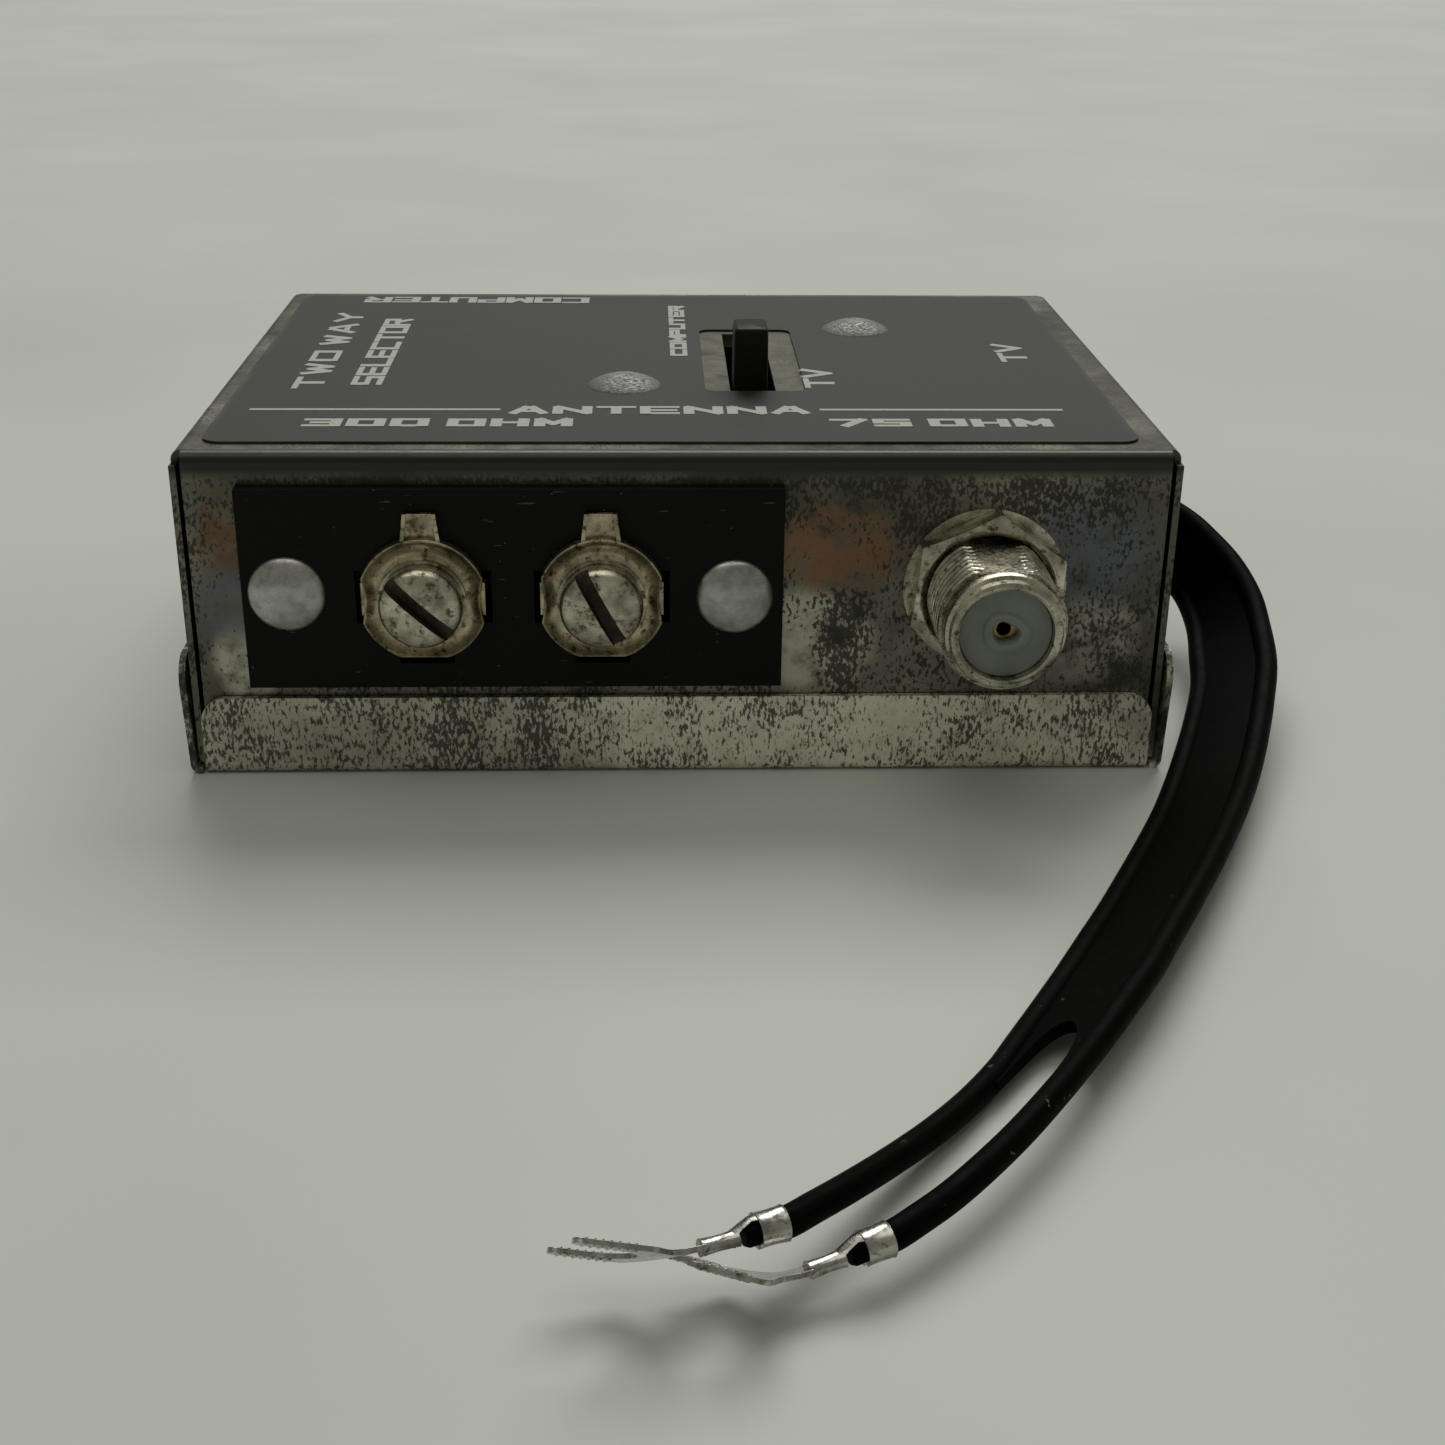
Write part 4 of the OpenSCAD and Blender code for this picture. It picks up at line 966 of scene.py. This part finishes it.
def add_rivets(name, node, places, head_r, head_h, edge_h, tail, paint):
    """Domed rivets: a rounded edge under a low crown, a faint ring near the middle, a spread tail."""
    ball = (head_r ** 2 + head_h ** 2) / (2 * head_h)
    profile = []
    for i in range(15):
        r = head_r * math.sin(i / 14 * math.pi / 2)
        ring = 0.035 * math.exp(-((r / head_r - 0.36) / 0.09) ** 2)
        height = head_h - ball + math.sqrt(ball * ball - r * r) + ring
        edge = edge_h * math.sqrt(max(0.0, 1 - (max(0.0, r / head_r - 0.88) / 0.12) ** 2))
        profile.append((max(r, 0.001), height * 0.8 + edge))
    profile += [(head_r - 0.02, 0.0), (1.5, 0.0), (1.5, -tail), (2.1, -tail), (1.7, -tail - 0.5),
                (0.001, -tail - 0.75)]
    rivets = Piece()
    for place in places:
        rivets.lathe(profile, at=place, closed=False)
    rivets.make(name, "case", "aluminium_rivet", paint, [node], crease=60)


def add_knob(paint):
    """The switch's carriage and its knob, with moulded draft and round edges."""
    low, high = box_mm("switch_slider")
    knob = Piece()
    middle_x = (low.x + high.x) / 2 - 0.2
    middle_y = (low.y + high.y) / 2
    carriage_top = low.z + 4.6
    knob.add(*block(low, (high.x, high.y, carriage_top)))
    half_x, half_y = 1.45, 2.1
    rings = []
    for z, shrink in ((carriage_top - 0.5, 0), (TOP, 0.02), (high.z - 0.5, 0.05), (high.z - 0.2, 0.08),
                      (high.z - 0.06, 0.16), (high.z, 0.32)):
        w, d, r = half_x - shrink, half_y - shrink, 0.45
        ring = []
        corners = ((w - r, d - r, 0), (r - w, d - r, 90), (r - w, r - d, 180), (w - r, r - d, 270))
        for cx, cy, start in corners:
            ring += [(middle_x + x, middle_y + y, z) for x, y in arc((cx, cy), r, start, start + 90, 4)]
        rings.append(ring)
    knob.loft(rings)
    knob.make("switch_knob", "slider", "black_plastic", paint, ["switch_slider"], crease=50, bevel=0.08)


INK_TOP = 0.03
LEVEL_SHARE = 0.62


# Each letter's strokes on a grid four units wide and four high
RING = "0,0 0,4 4,4 4,0 0,0"
BOWL = "0,0 0,4 4,4 4,2 0,2"
HOOKED = "4,4 0,4 0,2 4,2 4,0 0,0"
LETTERS = {
    "A": "0,0 1.7,4 2.3,4 4,0 / 0.8,1.2 3.2,1.2",
    "C": "4,4 0,4 0,0 4,0",
    "E": "4,4 0,4 0,0 4,0 / 0,2 3.7,2",
    "H": "0,0 0,4 / 4,0 4,4 / 0,2 4,2",
    "L": "0,4 0,0 4,0",
    "M": "0,0 0,4 2,1.2 4,4 4,0",
    "N": "0,0 0,4 4,0 4,4",
    "O": RING,
    "0": RING,
    "P": BOWL,
    "R": BOWL + " / 2.2,2 4,0",
    "S": HOOKED,
    "5": HOOKED,
    "T": "0,4 4,4 / 2,4 2,0",
    "U": "0,4 0,0 4,0 4,4",
    "V": "0,4 2,0 4,4",
    "W": "0,4 1,0 2,3.2 3,0 4,4",
    "Y": "0,4 2,1.9 4,4 / 2,1.9 2,0",
    "3": "0,4 4,4 4,0 0,0 / 1,2 4,2",
    "7": "0,4 4,4 1.4,0",
}


def add_stroke(piece, start, end, weight, reach, low, high):
    """A straight stroke with square ends that reach past both points."""
    along = (end - start).normalized()
    side = Vector((-along.y, along.x)) * weight / 2
    along *= reach
    corners = (start - along - side, end + along - side, end + along + side, start - along + side)
    piece.plate([tuple(c) for c in corners], low, high)


def set_words(piece, words, low, high, turn=0, weight=0.6, pitch=1.32):
    """Words drawn to fill the rectangle from low to high on the label, turned by quarter turns.
    Strokes that run up a letter are the full weight, and level ones are thinner."""
    size = Vector(high) - Vector(low)
    middle = (Vector(high) + Vector(low)) / 2
    long, tall = (size.y, size.x) if turn % 2 else (size.x, size.y)
    advance = [0.3 * pitch if c == " " else pitch for c in words]
    unit = (long - weight) / (sum(advance) - pitch + 1)
    spin = Matrix.Rotation(turn * math.pi / 2, 2)
    base = LABEL_HIGH.z
    count = 0
    for i, letter in enumerate(words):
        left = -long / 2 + weight / 2 + unit * sum(advance[:i])
        for stroke in LETTERS.get(letter, "").split(" / "):
            dots = [tuple(float(v) for v in dot.split(",")) for dot in stroke.split()]
            spots = []
            for x, y in dots:
                flat = Vector((left + unit * x / 4, (y / 4 - 0.5) * (tall - weight)))
                spots.append(middle + spin @ flat)
            # Strokes that cross end at slightly different heights, so no two faces coincide
            for start, end in zip(spots, spots[1:]):
                count += 1
                rise = abs((spin.inverted() @ (end - start)).y) / (end - start).length
                thick, reach = (weight * (LEVEL_SHARE + (1 - LEVEL_SHARE) * r) for r in (rise, 1 - rise))
                add_stroke(piece, start, end, thick, reach / 2, base, base + INK_TOP + 0.002 * (count % 12))


def add_legend(paint):
    legend = Piece()
    set_words(legend, "ANTENNA", (-13.5, -18.5), (10.5, -15.9), weight=0.85, pitch=1.5)
    set_words(legend, "300 OHM", (-29.2, -22.2), (-8.3, -19.6), weight=0.9, pitch=1.6)
    set_words(legend, "75 OHM", (11.8, -22.2), (29.3, -19.6), weight=0.9, pitch=1.6)
    set_words(legend, "COMPUTER", (-30.2, 22.6), (-8.2, 25.4), turn=2, weight=0.8, pitch=1.5)
    set_words(legend, "TWO WAY", (-32.0, -10.5), (-29.2, 18.0), turn=1, weight=0.8, pitch=1.5)
    set_words(legend, "SELECTOR", (-27.3, -9.3), (-24.4, 15.5), turn=1, weight=0.8, pitch=1.45)
    set_words(legend, "COMPUTER", (-0.6, 1.0), (1.2, 21.5), turn=1, weight=0.7, pitch=1.45)
    set_words(legend, "TV", (10.5, -10.1), (13.4, -3.6), turn=1, weight=0.8, pitch=1.4)
    set_words(legend, "TV", (28.5, -1.0), (31.3, 5.8), turn=1, weight=0.8, pitch=1.4)
    for left, right in ((-33.8, -14.4), (11.5, 30.7)):
        add_stroke(legend, Vector((left, -17.0)), Vector((right, -17.0)), 0.5, 0.2,
                   LABEL_HIGH.z, LABEL_HIGH.z + INK_TOP)
    legend.make("legend", "case", "label", paint, crease=80)


# ---- Stage and light ----

def add_floor():
    floor = bpy.data.meshes.new("floor")
    half = 3.0
    corners = [(-half, -half, 0), (half, -half, 0), (half, half, 0), (-half, half, 0)]
    floor.from_pydata(corners, [], [[0, 1, 2, 3]])
    paint = Paint("pale_table", 0.55)
    cloud = paint.noise(0.012, 3.0, 0.5)
    paint.to_shader("Base Color", paint.ramp(cloud, (0.3, (0.5, 0.515, 0.48)), (0.7, (0.56, 0.575, 0.54))))
    paint.bump(paint.noise(0.9, 4.0, 0.6), 0.02, 0.15)
    floor.materials.append(paint.material)
    piece = bpy.data.objects.new("floor", floor)
    bpy.context.scene.collection.objects.link(piece)


def add_light(name, place, aim, size, power, colour):
    data = bpy.data.lights.new(name, "AREA")
    data.shape = "RECTANGLE"
    data.size, data.size_y = size
    data.energy = power
    data.color = colour
    light = bpy.data.objects.new(name, data)
    light.location = place
    light.rotation_euler = (Vector(aim) - Vector(place)).to_track_quat("-Z", "Y").to_euler()
    bpy.context.scene.collection.objects.link(light)


def add_lighting():
    world = bpy.data.worlds.new("room")
    world.use_nodes = True
    sky = world.node_tree.nodes["Background"]
    sky.inputs["Color"].default_value = (1.0, 1.0, 0.84, 1)
    sky.inputs["Strength"].default_value = 0.2
    bpy.context.scene.world = world
    add_light("window", (0.3, 1.95, 2.4), (0, 0, 0), (2.3, 1.6), 54, (0.99, 0.99, 0.98))
    add_light("ceiling", (-0.3, -0.4, 3.0), (0, -0.03, 0), (2.6, 2.6), 18, (1.0, 1.0, 0.93))
    bpy.context.scene.view_settings.view_transform = "Standard"


# ---- The build ----


def paint_cad_nodes(materials):
    slots = {part["node"]: part["material_slot"] for part in frame["record"]["subparts"]}
    own = {"bottom_cover": tray_metal()}
    for node, piece in frame["nodes"].items():
        piece.data.materials.clear()
        piece.data.materials.append(own.get(node, materials[slots[node]]))


def main():
    add_camera()
    materials = make_materials()
    vinyl, nickel = materials["lead_vinyl"], materials["nickel_plate"]
    tinned, rivet = materials["tinned_brass"], materials["aluminium_rivet"]

    inner_lug, inner_place = add_lug("lug_inner", (4.3, -89.8, 3.4), (42, -1, 203), 21, tinned)
    outer_lug, outer_place = add_lug("lug_outer", (9.7, -89.9, 2.4), (31, 4, 203), 32, tinned)
    lead, lead_path = add_lead(vinyl)
    leg, leg_path = add_inner_leg(vinyl)
    outer_end = add_insulation_end("outer_leg_end", outer_place, vinyl)
    inner_end = add_insulation_end("inner_leg_end", inner_place, vinyl)

    paint_cad_nodes(materials)
    add_socket_body(nickel)
    add_hex_nut(nickel)
    add_socket_insulator(materials["grey_insulator"])
    for side, at, turn in (("left", SCREW_LEFT, -42.7), ("right", SCREW_RIGHT, -62)):
        add_terminal_plate(side, at, materials["terminal_plate"])
        add_terminal_screw(side, at, turn, nickel, materials["slot_painted_shade"])
    label_top = LABEL_HIGH.z
    add_rivets("top_rivets", "switch_rivets", [Matrix.Translation((x, y, label_top)) for x, y in (
        (-4.4, -9.1), (16.9, 11.6))], 3.1, 1.15, 0.05, 1.5, materials["top_rivet"])
    add_rivets("board_rivet_heads", "board_rivets", [facing_front(x, z, BOARD_FACE) for x, z in (
        (-29.8, 15.4), (4.1, 15.1))], 2.95, 1.1, 0.24, 1.8, rivet)
    add_knob(materials["black_plastic"])
    add_legend(print_ink())
    add_floor()
    add_lighting()


main()
